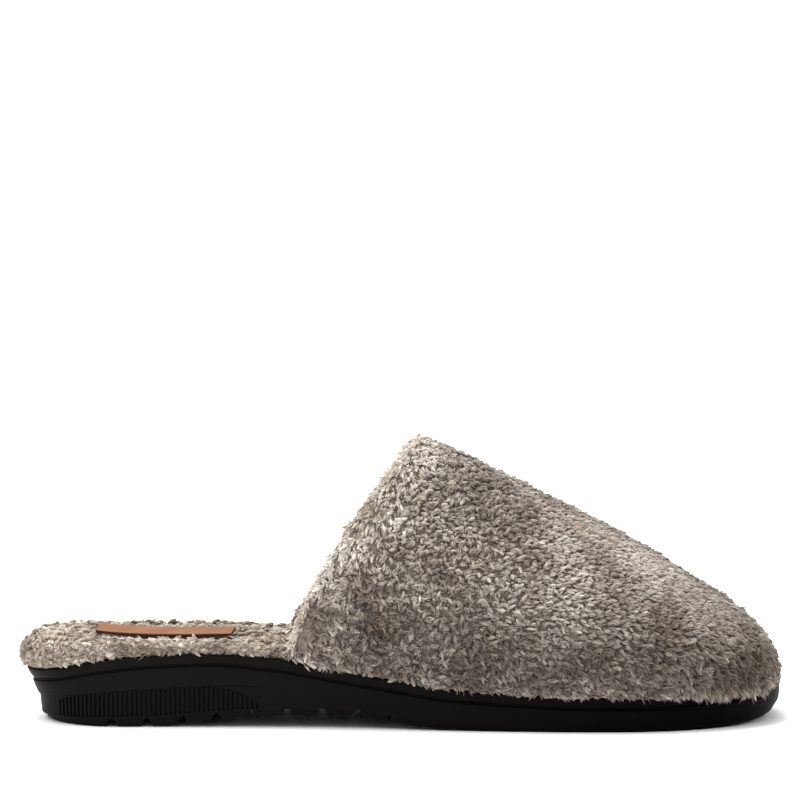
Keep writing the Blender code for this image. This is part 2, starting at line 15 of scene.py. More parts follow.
import bmesh
import bpy
import numpy as np
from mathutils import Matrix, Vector


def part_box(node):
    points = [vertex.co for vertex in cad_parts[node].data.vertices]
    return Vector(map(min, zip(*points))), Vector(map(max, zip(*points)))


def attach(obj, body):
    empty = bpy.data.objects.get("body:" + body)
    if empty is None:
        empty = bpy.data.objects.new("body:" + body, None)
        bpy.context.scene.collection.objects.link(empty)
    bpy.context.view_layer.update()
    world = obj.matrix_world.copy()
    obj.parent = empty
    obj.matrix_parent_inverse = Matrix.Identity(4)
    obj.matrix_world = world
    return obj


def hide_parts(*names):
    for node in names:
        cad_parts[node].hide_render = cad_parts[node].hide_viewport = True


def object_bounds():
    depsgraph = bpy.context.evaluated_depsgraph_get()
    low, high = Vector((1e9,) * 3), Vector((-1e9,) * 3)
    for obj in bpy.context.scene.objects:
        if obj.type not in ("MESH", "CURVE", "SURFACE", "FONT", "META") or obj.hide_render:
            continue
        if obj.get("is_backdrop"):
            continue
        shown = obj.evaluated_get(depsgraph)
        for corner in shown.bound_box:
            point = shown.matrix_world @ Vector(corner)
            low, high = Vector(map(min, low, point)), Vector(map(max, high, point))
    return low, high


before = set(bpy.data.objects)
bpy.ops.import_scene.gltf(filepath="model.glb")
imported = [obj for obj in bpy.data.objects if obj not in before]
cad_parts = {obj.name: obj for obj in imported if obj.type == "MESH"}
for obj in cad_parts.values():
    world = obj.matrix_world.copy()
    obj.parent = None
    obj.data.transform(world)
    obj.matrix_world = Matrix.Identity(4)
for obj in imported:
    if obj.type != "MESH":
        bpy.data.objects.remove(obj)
CAD_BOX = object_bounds()

LOG = logging.getLogger("slipper")
MM = 0.001
BODY = "root"
SEED = 11
WHITE = "#ffffff"

Array = np.ndarray
Chance = np.random.Generator
BMesh = bmesh.types.BMesh
Vert = bmesh.types.BMVert
Material = bpy.types.Material
NodeTree = bpy.types.NodeTree
Piece = bpy.types.Object


# Small tools


def smooth_step(low: float, high: float, value: Array) -> Array:
    """Soft ramp from 0 at low to 1 at high."""
    t = np.clip((value - low) / (high - low), 0.0, 1.0)
    return t * t * (3 - 2 * t)


def fade(low: float, high: float, value: Array) -> Array:
    """Soft ramp from 1 at low to 0 at high."""
    return 1 - smooth_step(low, high, value)


def arc(share: Array, fullness: float) -> Array:
    """Height of a rounded quarter at a share of its reach."""
    return (1 - (1 - np.clip(share, 0, 1)) ** fullness) ** (1 / fullness)


def unit(vectors: Array) -> Array:
    """Vectors of length one, with those of no length left as they are."""
    length = np.linalg.norm(vectors, axis=-1, keepdims=True)
    return vectors / np.where(length > 1e-12, length, 1.0)


def linear(hex_colour: str) -> tuple[float, float, float, float]:
    """Turn an sRGB hex colour into linear red, green, blue and alpha.

    Args:
        hex_colour: Six hex digits after a hash sign.

    Returns:
        The four channels, with alpha at 1.
    """
    parts = [int(hex_colour[at:at + 2], 16) / 255 for at in (1, 3, 5)]
    lin = [part / 12.92 if part <= 0.04045 else ((part + 0.055) / 1.055) ** 2.4 for part in parts]
    return (lin[0], lin[1], lin[2], 1.0)


def per_mm(size: float) -> float:
    """Scale of a texture node whose pattern repeats at a size in millimetres."""
    return 1.0 / (size * MM)


class Table:
    """Rows of numbers with named columns, read smoothly by the first column."""

    def __init__(self, columns: tuple[str, ...], rows: tuple[tuple[float, ...], ...]) -> None:
        """Keep the rows and work out a slope at each."""
        self.columns = columns
        self.rows = np.array(rows, dtype=float)
        self.keys = self.rows[:, 0]
        steps = np.diff(self.rows, axis=0) / np.diff(self.keys)[:, None]
        before, after = steps[:-1], steps[1:]
        same = before * after > 0
        total = np.where(same, before + after, 1.0)
        between = np.where(same, 2 * before * after / total, 0.0)
        self.slopes = np.vstack((steps[:1], between, steps[-1:]))

    def at(self, column: str, key: Array) -> Array:
        """Read a column.

        Args:
            column: Name of the column.
            key: Places between the first and the last row.

        Returns:
            The column's values there.
        """
        which = self.columns.index(column)
        key = np.clip(key, self.keys[0], self.keys[-1])
        low = np.clip(np.searchsorted(self.keys, key, side="right") - 1, 0, len(self.keys) - 2)
        span = self.keys[low + 1] - self.keys[low]
        t = (key - self.keys[low]) / span
        start, end = self.rows[low, which], self.rows[low + 1, which]
        leave, arrive = self.slopes[low, which] * span, self.slopes[low + 1, which] * span
        return (
            start * (1 + 2 * t) * (1 - t) ** 2
            + leave * t * (1 - t) ** 2
            + end * t * t * (3 - 2 * t)
            + arrive * t * t * (t - 1)
        )


# Plan of the rim, as shares of the ball width
PLAN = Table(
    ("station", "outer", "inner", "axis"),
    (
        (0.00, 0.355, 0.352, 0.000),
        (0.17, 0.362, 0.352, 0.000),
        (0.38, 0.396, 0.338, 0.000),
        (0.57, 0.470, 0.384, 0.000),
        (0.72, 0.510, 0.470, 0.000),
        (0.82, 0.516, 0.498, 0.008),
        (1.00, 0.500, 0.505, 0.045),
    ),
)

# Heights above the floor: top of the rim, lift of the tread, and top of the footbed
PROFILE = Table(
    ("station", "rim", "lift", "bed"),
    (
        (0.00, 17.9, 0.0, 29.6),
        (0.04, 19.3, 0.0, 30.0),
        (0.10, 22.4, 0.0, 29.6),
        (0.17, 24.4, 0.4, 29.3),
        (0.25, 25.3, 2.2, 29.6),
        (0.33, 23.6, 3.9, 28.6),
        (0.42, 19.7, 4.2, 25.3),
        (0.48, 17.3, 2.6, 22.9),
        (0.55, 14.5, 0.5, 20.0),
        (0.62, 13.2, 0.0, 18.5),
        (0.74, 11.9, 0.0, 17.2),
        (0.86, 11.8, 0.0, 17.0),
        (0.94, 12.2, 0.1, 17.4),
        (1.00, 13.0, 1.4, 18.2),
    ),
)

# Crest of the upper from the collar to the toe: station, height as a share of the instep
# height, distance towards the inner side, and how full the two flanks are
CREST = Table(
    ("along", "station", "height", "across", "outer", "inner"),
    (
        (0.00, 0.524, 1.012, 2.5, 2.25, 2.40),
        (0.06, 0.546, 0.986, 2.8, 2.22, 2.40),
        (0.15, 0.587, 0.934, 3.2, 2.15, 2.40),
        (0.28, 0.645, 0.856, 3.8, 2.08, 2.40),
        (0.46, 0.726, 0.747, 4.6, 2.05, 2.38),
        (0.64, 0.807, 0.631, 5.2, 2.05, 2.35),
        (0.82, 0.880, 0.512, 5.2, 2.15, 2.30),
        (1.00, 0.946, 0.404, 4.6, 2.22, 2.22),
    ),
)


@dataclass(frozen=True)
class Last:
    """Plan of the sole and the slipper's place in the frame, which every piece follows."""

    length: float = 259.0
    ball_width: float = 93.0
    gap: float = 0.3
    heel_round: float = 0.135
    heel_fullness: float = 2.3
    toe_round: float = 0.235
    toe_fullness: float = 2.25
    cad_stations: int = 52

    @cached_property
    def origin(self) -> Array:
        """Place of the slipper's own zero in the frame, found from the outsole's box."""
        low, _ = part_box("outsole")
        station, side = self.plan_loop(self.cad_stations)
        return np.array((low[0], low[1] - self.rim_offset(station, side).min() * MM, 0.0))

    def place(self, points: Array) -> Array:
        """Points of the slipper's own lines, in the frame."""
        return np.asarray(points) * MM + self.origin

    def rim_offset(self, station: Array, side: Array) -> Array:
        """Distance of the rim from the heel axis.

        Args:
            station: Stations along the sole.
            side: The side of the foot at each, -1 outside and 1 inside.

        Returns:
            The distances, which are positive to the inner side.
        """
        heel = arc(station / self.heel_round, self.heel_fullness)
        toe = arc((1 - station) / self.toe_round, self.toe_fullness)
        width = np.where(side < 0, PLAN.at("outer", station), PLAN.at("inner", station))
        return self.ball_width * (PLAN.at("axis", station) + side * width * heel * toe)

    def plan_loop(self, count: int) -> tuple[Array, Array]:
        """Stations and sides of a loop from the heel along the outer side and back."""
        turn = np.arange(2 * count) * math.pi / count
        return (1 - np.cos(turn)) / 2, np.where(turn <= math.pi, -1.0, 1.0)

    def offset_plan(self, station: Array, side: Array, outset: Array) -> tuple[Array, Array]:
        """Move the rim's plan outwards.

        Args:
            station: Stations of a closed loop.
            side: The side of the foot at each.
            outset: Distance outwards at each.

        Returns:
            The loop's x and y.
        """
        x = self.length * station
        y = self.rim_offset(station, side)
        along_x = np.roll(x, -1) - np.roll(x, 1)
        along_y = np.roll(y, -1) - np.roll(y, 1)
        length = np.hypot(along_x, along_y)
        return x + outset * along_y / length, y - outset * along_x / length

    def hem_frame(
        self, station: Array, side: Array, outset: float,
    ) -> tuple[Array, Array, Array, Array]:
        """Hem of the upper on the rim.

        Args:
            station: Stations along the sole.
            side: The side of the foot at each.
            outset: Distance of the hem outside the rim's plan.

        Returns:
            x and y of the hem, and x and y of the outward direction there.
        """
        step = 2e-4
        ahead = np.minimum(station + step, 1.0)
        behind = np.maximum(station - step, 0.0)
        dx = self.length * (ahead - behind)
        dy = self.rim_offset(ahead, side) - self.rim_offset(behind, side)
        length = np.hypot(dx, dy)
        tip = station > 1 - 1e-9
        out_x = np.where(tip, 1.0, side * -dy / length)
        out_y = np.where(tip, 0.0, side * dx / length)
        x = self.length * station + outset * out_x
        return x, self.rim_offset(station, side) + outset * out_y, out_x, out_y


# Mesh tools


def add_grid(bm: BMesh, grid: Array) -> list[list[Vert]]:
    """Lay a grid of faces through an array of points, with points that coincide joined.

    Args:
        bm: The mesh that takes the grid.
        grid: Rows and columns of points in the frame.

    Returns:
        The grid's vertices, a list for each row.
    """
    rows, columns = grid.shape[0] - 1, grid.shape[1] - 1
    made = bmesh.ops.create_grid(bm, x_segments=columns, y_segments=rows, size=1)["verts"]
    for vert, point in zip(made, grid.reshape(-1, 3)):
        vert.co = point
    joined = bmesh.ops.find_doubles(bm, verts=made, dist=1e-7)["targetmap"]
    kept = [joined.get(vert, vert) for vert in made]
    bmesh.ops.weld_verts(bm, targetmap=joined)
    return [kept[row * (columns + 1):(row + 1) * (columns + 1)] for row in range(rows + 1)]


def lens_loop(grid: list) -> list:
    """Edge of a grid that ends in a point at the heel and at the toe."""
    return [row[0] for row in grid] + [row[-1] for row in grid[-2:0:-1]]


def hood_loop(grid: list) -> list:
    """Edge of a grid that is folded together at the toe: collar, inner hem, outer hem."""
    return list(grid[0]) + [row[-1] for row in grid[1:]] + [row[0] for row in grid[-2:0:-1]]


def extrude_loop(bm: BMesh, loop: list, points: Array) -> list[Vert]:
    """Extrude a closed loop and move the new loop.

    Args:
        bm: The mesh.
        loop: Vertices of the loop in order.
        points: Where the new vertices go, in the frame.

    Returns:
        The new loop in the same order.
    """
    place = {vert: index for index, vert in enumerate(loop)}
    edges = [bm.edges.get((a, b)) for a, b in zip(loop, loop[1:] + loop[:1])]
    made = bmesh.ops.extrude_edge_only(bm, edges=edges)["geom"]
    fresh = [None] * len(loop)
    for vert in made:
        if isinstance(vert, Vert):
            for edge in vert.link_edges:
                index = place.get(edge.other_vert(vert))
                if index is not None:
                    fresh[index] = vert
    for vert, point in zip(fresh, points):
        vert.co = point
    return fresh


def cross_grid(
    ring: Array, columns: int, shape: Callable[[int, Array, Array], Array] | None = None,
) -> Array:
    """Rule a grid across a loop, one row a station, from the outer edge to the inner one.

    Args:
        ring: Points of the loop, from the heel along the outer side and back.
        columns: Cells across.
        shape: Moves a row's points, given the row, their shares across and the points.

    Returns:
        Rows and columns of points.
    """
    count = len(ring) // 2
    share = np.linspace(0, 1, columns + 1)
    grid = np.empty((count + 1, columns + 1, 3))
    for row in range(count + 1):
        outer, inner = ring[row], ring[-row % len(ring)]
        line = outer + share[:, None] * (inner - outer)
        grid[row] = shape(row, share, line) if shape else line
    return grid


def lofted(bottom: Array, rings: list[Array], top: Array) -> BMesh:
    """Close a body from a bottom grid, rings up its side and a top grid on the last ring.

    Args:
        bottom: Rows and columns of the bottom's points.
        rings: Points of each ring, from the bottom up.
        top: Rows and columns of the top's points.

    Returns:
        The closed mesh.
    """
    bm = bmesh.new()
    loop = lens_loop(add_grid(bm, bottom))
    for ring in rings:
        loop = extrude_loop(bm, loop, ring)
    add_grid(bm, top)
    bmesh.ops.remove_doubles(bm, verts=bm.verts, dist=1e-6)
    return bm


def new_mesh(name: str, bm: BMesh) -> bpy.types.Mesh:
    """Turn a bmesh into a mesh and free it."""
    mesh = bpy.data.meshes.new(name)
    bm.to_mesh(mesh)
    bm.free()
    return mesh


def new_object(name: str, data: bpy.types.ID) -> Piece:
    """Link a mesh, a light or a camera to the scene as an object."""
    made = bpy.data.objects.new(name, data)
    bpy.context.scene.collection.objects.link(made)
    return made


def add_piece(name: str, mesh: bpy.types.Mesh, material: Material) -> Piece:
    """Put a mesh in the scene as a piece that rides on the slipper.

    Args:
        name: Name of the piece.
        mesh: Its mesh, in the frame.
        material: Its finish.

    Returns:
        The piece.
    """
    mesh.materials.append(material)
    piece = new_object(name, mesh)
    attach(piece, BODY)
    return piece


def finish_piece(
    name: str, bm: BMesh, material: Material, sharp: float | None = None,
) -> Piece:
    """Turn a modelled shape into a smooth piece.

    Args:
        name: Name of the piece.
        bm: Its mesh, which is freed.
        material: Its finish.
        sharp: Angle in degrees past which an edge stays sharp, or None for none.

    Returns:
        The piece.
    """
    bmesh.ops.recalc_face_normals(bm, faces=bm.faces)
    mesh = new_mesh(name, bm)
    mesh.polygons.foreach_set("use_smooth", np.ones(len(mesh.polygons), dtype=bool))
    if sharp is not None:
        mesh.set_sharp_from_angle(angle=math.radians(sharp))
    return add_piece(name, mesh, material)


def report(piece: Piece) -> None:
    """Log a piece's name and its number of triangles."""
    triangles = sum(len(face.vertices) - 2 for face in piece.data.polygons)
    LOG.info("%s: %d triangles", piece.name, triangles)


# Finishes


def connect(tree: NodeTree, node: bpy.types.Node, links: dict[str | int, Any]) -> None:
    """Link or set a node's inputs.

    Args:
        tree: The material's node tree.
        node: The node.
        links: For each input by name or number, a socket to link or a value to set.
    """
    for name, value in links.items():
        if isinstance(value, bpy.types.NodeSocket):
            tree.links.new(value, node.inputs[name])
        else:
            node.inputs[name].default_value = value


def add_node(
    tree: NodeTree, kind: str, links: dict[str | int, Any] | None = None,
    ramp: tuple[tuple[float, str], ...] = (), **settings: Any,
) -> bpy.types.Node:
    """Add a node with its settings and links.

    Args:
        tree: The material's node tree.
        kind: The node's type.
        links: For each input by name or number, a socket to link or a value to set.
        ramp: Stops of a colour ramp, each a place and a hex colour.
        **settings: Properties of the node.

    Returns:
        The node.
    """
    node = tree.nodes.new(kind)
    for name, value in settings.items():
        setattr(node, name, value)
    connect(tree, node, links or {})
    for index, (place, colour) in enumerate(ramp):
        stops = node.color_ramp.elements
        stop = stops[index] if index < 2 else stops.new(place)
        stop.position = place
        stop.color = linear(colour)
    return node


class Relief(NamedTuple):
    """Bump of a surface: its strength and its depth in millimetres."""

    strength: float
    depth: float

    def links(self, height: bpy.types.NodeSocket) -> dict[str, Any]:
        """Inputs of a bump node over a height."""
        return {"Height": height, "Strength": self.strength, "Distance": self.depth * MM}


@dataclass(frozen=True)
class Finish:
    """Finish of one real material, drawn on Object coordinates."""

    name: str

    def inputs(self, tree: NodeTree, place: bpy.types.NodeSocket) -> dict[str, Any]:
        """Add the finish's nodes.

        Args:
            tree: The material's node tree.
            place: Object coordinates.

        Returns:
            A socket or a value for each of the shader's inputs that the finish sets.
        """
        raise NotImplementedError

    def material(self) -> Material:
        """Make the material."""
        material = bpy.data.materials.new(self.name)
        material.use_nodes = True
        tree = material.node_tree
        place = add_node(tree, "ShaderNodeTexCoord").outputs["Object"]
        connect(tree, tree.nodes["Principled BSDF"], self.inputs(tree, place))
        return material


@dataclass(frozen=True)
class FleeceFinish(Finish):
    """Knitted polyester fleece, sheared and tumbled.

    It is dark in the pile and light at the tips, the dark partly its own colour and partly painted
    shade deep in the pile, and matt with a faint sheen.
    """

    root: str
    middle: str
    tip: str
    shadow: str = "#746b64"
    patch: str = "#bdb5ae"
    patch_size: float = 16.0
    fibre_size: float = 0.45
    fibre_relief: Relief = Relief(0.25, 0.2)
    roughness: float = 0.88
    gloss: float = 0.25
    sheen: float = 0.12
    sheen_roughness: float = 0.5
    scatter: float = 0.5
    scatter_depth: float = 1.0
    scatter_colour: tuple[float, float, float] = (1.0, 0.9, 0.8)

    def inputs(self, tree: NodeTree, place: bpy.types.NodeSocket) -> dict[str, Any]:
        """Colour the pile by its own rise, darker to the root as painted shade in part, and by its
        tone, which paints light and shade, with random drifts of darker tone and fine fibres.
        """
        rise = add_node(tree, "ShaderNodeAttribute", attribute_name="rise")
        tone = add_node(tree, "ShaderNodeAttribute", attribute_name="tone")
        # Partly painted shade: dark at the root and light at the tip.
        pile = add_node(
            tree, "ShaderNodeValToRGB", {0: rise.outputs["Fac"]},
            ramp=((0.0, self.root), (1.0, self.tip), (0.5, self.middle)),
        )
        shade = add_node(
            tree, "ShaderNodeValToRGB", {0: tone.outputs["Fac"]},
            ramp=((0.0, self.shadow), (1.0, WHITE)),
        )
        drift = add_node(
            tree, "ShaderNodeTexNoise",
            {"Vector": place, "Scale": per_mm(self.patch_size), "Detail": 2.0},
        )
        patches = add_node(
            tree, "ShaderNodeValToRGB", {0: drift.outputs["Fac"]},
            ramp=((0.35, self.patch), (0.65, WHITE)),
        )
        colour = pile.outputs[0]
        for tint in (shade, patches):
            mixed = add_node(
                tree, "ShaderNodeMix", {0: 1.0, "A": colour, "B": tint.outputs[0]},
                data_type="RGBA", blend_type="MULTIPLY",
            )
            colour = mixed.outputs["Result"]
        fibres = add_node(
            tree, "ShaderNodeTexNoise",
            {"Vector": place, "Scale": per_mm(self.fibre_size), "Detail": 2.0},
        )
        relief = add_node(tree, "ShaderNodeBump", self.fibre_relief.links(fibres.outputs["Fac"]))
        return {
            "Base Color": colour,
            "Normal": relief.outputs["Normal"],
            "Roughness": self.roughness,
            "Specular IOR Level": self.gloss,
            "Sheen Weight": self.sheen,
            "Sheen Roughness": self.sheen_roughness,
            "Subsurface Weight": self.scatter,
            "Subsurface Radius": self.scatter_colour,
            "Subsurface Scale": self.scatter_depth * MM,
        }


@dataclass(frozen=True)
class BackingFinish(Finish):
    """Knitted backing of the fleece: short dense loops, coloured dark partly to paint the shade that
    falls between the tufts.
    """

    dark: str
    light: str
    loop_size: float = 0.7
    loop_relief: Relief = Relief(1.0, 0.8)
    roughness: float = 0.95
    gloss: float = 0.15

    def inputs(self, tree: NodeTree, place: bpy.types.NodeSocket) -> dict[str, Any]:
        """Draw round loops, light in the middle and dark between, the dark a painted shade in the
        gaps.
        """
        loops = add_node(
            tree, "ShaderNodeTexVoronoi", {"Vector": place, "Scale": per_mm(self.loop_size)},
            feature="SMOOTH_F1",
        ).outputs["Distance"]
        colour = add_node(
            tree, "ShaderNodeValToRGB", {0: loops}, ramp=((0.1, self.light), (0.7, self.dark)),
        )
        relief = add_node(tree, "ShaderNodeBump", self.loop_relief.links(loops), invert=True)
        return {
            "Base Color": colour.outputs[0],
            "Normal": relief.outputs["Normal"],
            "Roughness": self.roughness,
            "Specular IOR Level": self.gloss,
        }


@dataclass(frozen=True)
class RubberFinish(Finish):
    """Black thermoplastic rubber, injection moulded: satin, with the fine spark grain of the mould.

    The colour is painted paler and browner at the heel than at the toe: painted light, for the light
    falling on the heel's side.
    """

    name: str = "moulded_black_rubber"
    dark: str = "#010101"
    light: str = "#12100f"
    painted_heel_light: tuple[float, float] = (105.0, -80.0)
    cloud_share: float = 0.15
    cloud_size: float = 14.0
    grain_size: float = 0.6
    grain_relief: Relief = Relief(0.12, 0.1)
    roughness: tuple[float, float] = (0.44, 0.56)
    gloss: float = 0.02

    def inputs(self, tree: NodeTree, place: bpy.types.NodeSocket) -> dict[str, Any]:
        """Fade painted light from the heel to the toe, with clouds in its colour and its gloss."""
        cloud = add_node(
            tree, "ShaderNodeTexNoise",
            {"Vector": place, "Scale": per_mm(self.cloud_size), "Detail": 3.0},
        )
        toe, heel = self.painted_heel_light
        smooth, rough = self.roughness
        length = add_node(tree, "ShaderNodeSeparateXYZ", {0: place})
        # Painted light: the colour is lighter at the heel and darker at the toe, along the slipper's
        # length.
        painted_heel_light = add_node(
            tree, "ShaderNodeMapRange",
            {"Value": length.outputs["X"], "From Min": toe * MM, "From Max": heel * MM},
        )
        painted_light_and_cloud = add_node(
            tree, "ShaderNodeMix",
            {0: self.cloud_share, "A": painted_heel_light.outputs["Result"], "B": cloud.outputs["Fac"]},
            data_type="FLOAT",
        )
        colour = add_node(
            tree, "ShaderNodeValToRGB", {0: painted_light_and_cloud.outputs["Result"]},
            ramp=((0.0, self.dark), (0.9, self.light)),
        )
        matt = add_node(
            tree, "ShaderNodeMapRange",
            {"Value": cloud.outputs["Fac"], "To Min": smooth, "To Max": rough},
        )
        grain = add_node(
            tree, "ShaderNodeTexNoise",
            {"Vector": place, "Scale": per_mm(self.grain_size), "Detail": 2.0},
        )
        relief = add_node(tree, "ShaderNodeBump", self.grain_relief.links(grain.outputs["Fac"]))
        return {
            "Base Color": colour.outputs[0],
            "Normal": relief.outputs["Normal"],
            "Roughness": matt.outputs["Result"],
            "Specular IOR Level": self.gloss,
        }


@dataclass(frozen=True)
class LeatherFinish(Finish):
    """Tan leather, cut from a dyed split: a pebbled grain on top and a dark raw cut edge."""

    name: str = "tan_split_leather"
    dark: str = "#724b35"
    light: str = "#835c43"
    edge: str = "#3a2014"
    grain_size: float = 1.1
    grain_relief: Relief = Relief(0.25, 0.15)
    cloud_size: float = 9.0
    roughness: float = 0.7
    gloss: float = 0.15

    def inputs(self, tree: NodeTree, place: bpy.types.NodeSocket) -> dict[str, Any]:
        """Cloud the dye over a pebbled grain, and darken the label's own cut edge."""
        cut = add_node(tree, "ShaderNodeAttribute", attribute_name="cut")
        cloud = add_node(
            tree, "ShaderNodeTexNoise",
            {"Vector": place, "Scale": per_mm(self.cloud_size), "Detail": 4.0},
        )
        face = add_node(
            tree, "ShaderNodeValToRGB", {0: cloud.outputs["Fac"]},
            ramp=((0.3, self.dark), (0.7, self.light)),
        )
        colour = add_node(
            tree, "ShaderNodeMix",
            {0: cut.outputs["Fac"], "A": face.outputs[0], "B": linear(self.edge)},
            data_type="RGBA",
        )
        pebble = add_node(
            tree, "ShaderNodeTexVoronoi", {"Vector": place, "Scale": per_mm(self.grain_size)},
            feature="SMOOTH_F1",
        )
        relief = add_node(
            tree, "ShaderNodeBump", self.grain_relief.links(pebble.outputs["Distance"]), invert=True,
        )
        return {
            "Base Color": colour.outputs["Result"],
            "Normal": relief.outputs["Normal"],
            "Roughness": self.roughness,
            "Specular IOR Level": self.gloss,
        }


@dataclass(frozen=True)
class PaperFinish(Finish):
    """White studio paper: matt, with a faint tooth that is drawn coarse enough to show."""

    name: str = "white_studio_paper"
    dark: str = "#fafafa"
    light: str = "#fdfdfd"
    tooth_size: float = 60.0
    roughness: float = 0.9
    gloss: float = 0.1

    def inputs(self, tree: NodeTree, place: bpy.types.NodeSocket) -> dict[str, Any]:
        """Vary the white a little."""
        tooth = add_node(
            tree, "ShaderNodeTexNoise",
            {"Vector": place, "Scale": per_mm(self.tooth_size), "Detail": 2.0},
        )
        colour = add_node(
            tree, "ShaderNodeValToRGB", {0: tooth.outputs["Fac"]},
            ramp=((0.3, self.dark), (0.7, self.light)),
        )
        return {
            "Base Color": colour.outputs[0],
            "Roughness": self.roughness,
            "Specular IOR Level": self.gloss,
        }


# Sole


class Level(NamedTuple):
    """One line round the side of the sole.

    share is its height between the tread and the groove, rise a height added to that,
    and heel, flank and toe how far it is set in from the rim's plan. ahead is the flank's
    inset in front of the ribbed panel, where that differs.
    """

    share: float
    rise: float
    heel: float
    flank: float
    toe: float
    groove: bool = False
    ahead: float | None = None


class Panel(NamedTuple):
    """A level within the ribbed heel panel: its share of the ribs' height and a step past it."""

    share: float
    step: float
    ribbed: bool


@dataclass
class UnitSole:
    """Moulded sole with a rim band, a groove, a ribbed heel panel and a lugged tread."""

    last: Last
    rim_band: float = 4.0
    coarse_stations: int = 110
    rib_samples: tuple[float, ...] = (0.0, 0.23, 0.30, 0.5, 0.70, 0.77)
    heel_taper_end: float = 0.12
    toe_taper_start: float = 0.84
    groove_fade: tuple[float, float] = (0.80, 0.92)
    groove_faded_inset: float = -0.75
    rib_panel: tuple[float, float] = (0.036, 0.312)
    rib_count: int = 44
    rib_depth: float = 0.8
    rib_gap: tuple[float, float] = (0.27, 0.73)
    rib_front_round: float = 0.075
    rib_back_round: float = 0.030
    rib_back_lead: float = 0.012
    rib_clear: float = 0.002
    rib_least_height: float = 0.9
    panel_clear: float = 0.1
    lug_first: float = 0.113
    lug_last: float = 0.915
    lug_pitch: float = 11.9
    lug_width: float = 5.2
    lug_roof: float = 1.9
    lug_depth: float = 2.7
    lug_wave: float = 2.2
    lug_points: int = 13
    lug_sink: float = 0.8
    lug_round: float = 0.3
    lug_open_end: float = 0.50
    lug_blind_margin: float = 7.0
    sharp_angle: float = 32.0
    tread_edge: Level = Level(0.0, 0.0, 8.6, 3.9, 5.0)
    tread_levels: tuple[Level, ...] = (
        Level(0.02, 0.0, 7.8, 3.4, 4.2),
        Level(0.06, 0.0, 7.0, 3.1, 3.2),
        Level(0.13, 0.0, 6.2, 2.9, 2.4),
        Level(0.15, 0.0, 5.5, 2.65, 2.2),
    )
    panel_foot: Level = Level(0.18, 0.0, 4.9, 2.4, 1.9)
    panel_head: Level = Level(0.63, 0.0, 4.2, 2.1, -0.3, ahead=1.56)
    step_fade: tuple[float, float] = (0.295, 0.345)
    panel_rows: tuple[Panel, ...] = (
        Panel(0.0, 0.0, False),
        Panel(0.0, 0.25, True),
        Panel(0.5, 0.0, True),
        Panel(1.0, -0.45, True),
        Panel(1.0, -0.2, False),
    )
    wall_levels: tuple[Level, ...] = (
        Level(0.645, 0.0, 3.7, 1.65, -0.35, ahead=1.53),
        Level(0.67, 0.0, 3.45, 1.48, -0.4),
        Level(0.85, -0.2, 2.4, 1.15, -0.6),
        Level(1.00, -0.7, 1.8, 0.92, -0.7),
        Level(1.00, -0.45, 1.85, 1.0, -0.7),
        Level(1.00, -0.3, 2.2, 1.3, -0.72, True),
        Level(1.00, 0.0, 2.7, 1.9, -0.75, True),
        Level(1.00, 0.3, 2.7, 1.9, -0.75, True),
        Level(1.00, 0.65, 2.0, 1.2, -0.77, True),
        Level(1.00, 0.85, 1.45, 0.75, -0.78),
        Level(1.00, 1.2, 1.2, 0.58, -0.8),
        Level(1.00, 2.3, 0.55, 0.25, -0.8),
        Level(1.00, 3.2, 0.05, 0.03, -0.75),
        Level(1.00, 3.6, 0.08, 0.08, -0.65),
        Level(1.00, 3.87, 0.30, 0.30, -0.4),
        Level(1.00, 4.0, 0.7, 0.7, 0.0),
    )

    def stations(self) -> tuple[Array, Array]:
        """Stations and sides of a loop that is dense along the ribs."""
        coarse = (1 - np.cos(np.linspace(0, math.pi, self.coarse_stations + 1))) / 2
        first, last = self.rib_panel
        clear = coarse[(coarse < first - self.rib_clear) | (coarse > last + self.rib_clear)]
        phase = (np.arange(self.rib_count)[:, None] + np.array(self.rib_samples)).ravel()
        ribs = first + (last - first) * np.append(phase, self.rib_count) / self.rib_count
        there = np.sort(np.concatenate((clear, ribs)))
        station = np.concatenate((there, there[-2:0:-1]))
        side = np.concatenate((np.full(len(there), -1.0), np.full(len(there) - 2, 1.0)))
        return station, side

    def inset(self, level: Level, station: Array) -> Array:
        """How far a level is set in.

        Args:
            level: The level.
            station: Stations along the sole.

        Returns:
            The inset from the rim's plan at each station.
        """
        back = fade(0.0, self.heel_taper_end, station)
        front = smooth_step(self.toe_taper_start, 1.0, station)
        flank = level.flank
        if level.ahead is not None:
            flank = flank + (level.ahead - flank) * smooth_step(*self.step_fade, station)
        inset = flank + (level.heel - flank) * back + (level.toe - flank) * front
        if level.groove:
            gone = smooth_step(*self.groove_fade, station)
            inset = inset + (np.minimum(self.groove_faded_inset, inset) - inset) * gone
        return inset

    def height(self, level: Level, station: Array) -> Array:
        """Height of a level at each station."""
        lift = PROFILE.at("lift", station)
        groove = PROFILE.at("rim", station) - self.rim_band
        return lift + level.share * (groove - lift) + level.rise

    def ring(self, level: Level, station: Array, side: Array) -> Array:
        """Points of one level round the sole, in the frame."""
        x, y = self.last.offset_plan(station, side, -self.inset(level, station))
        return self.last.place(np.column_stack((x, y, self.height(level, station))))

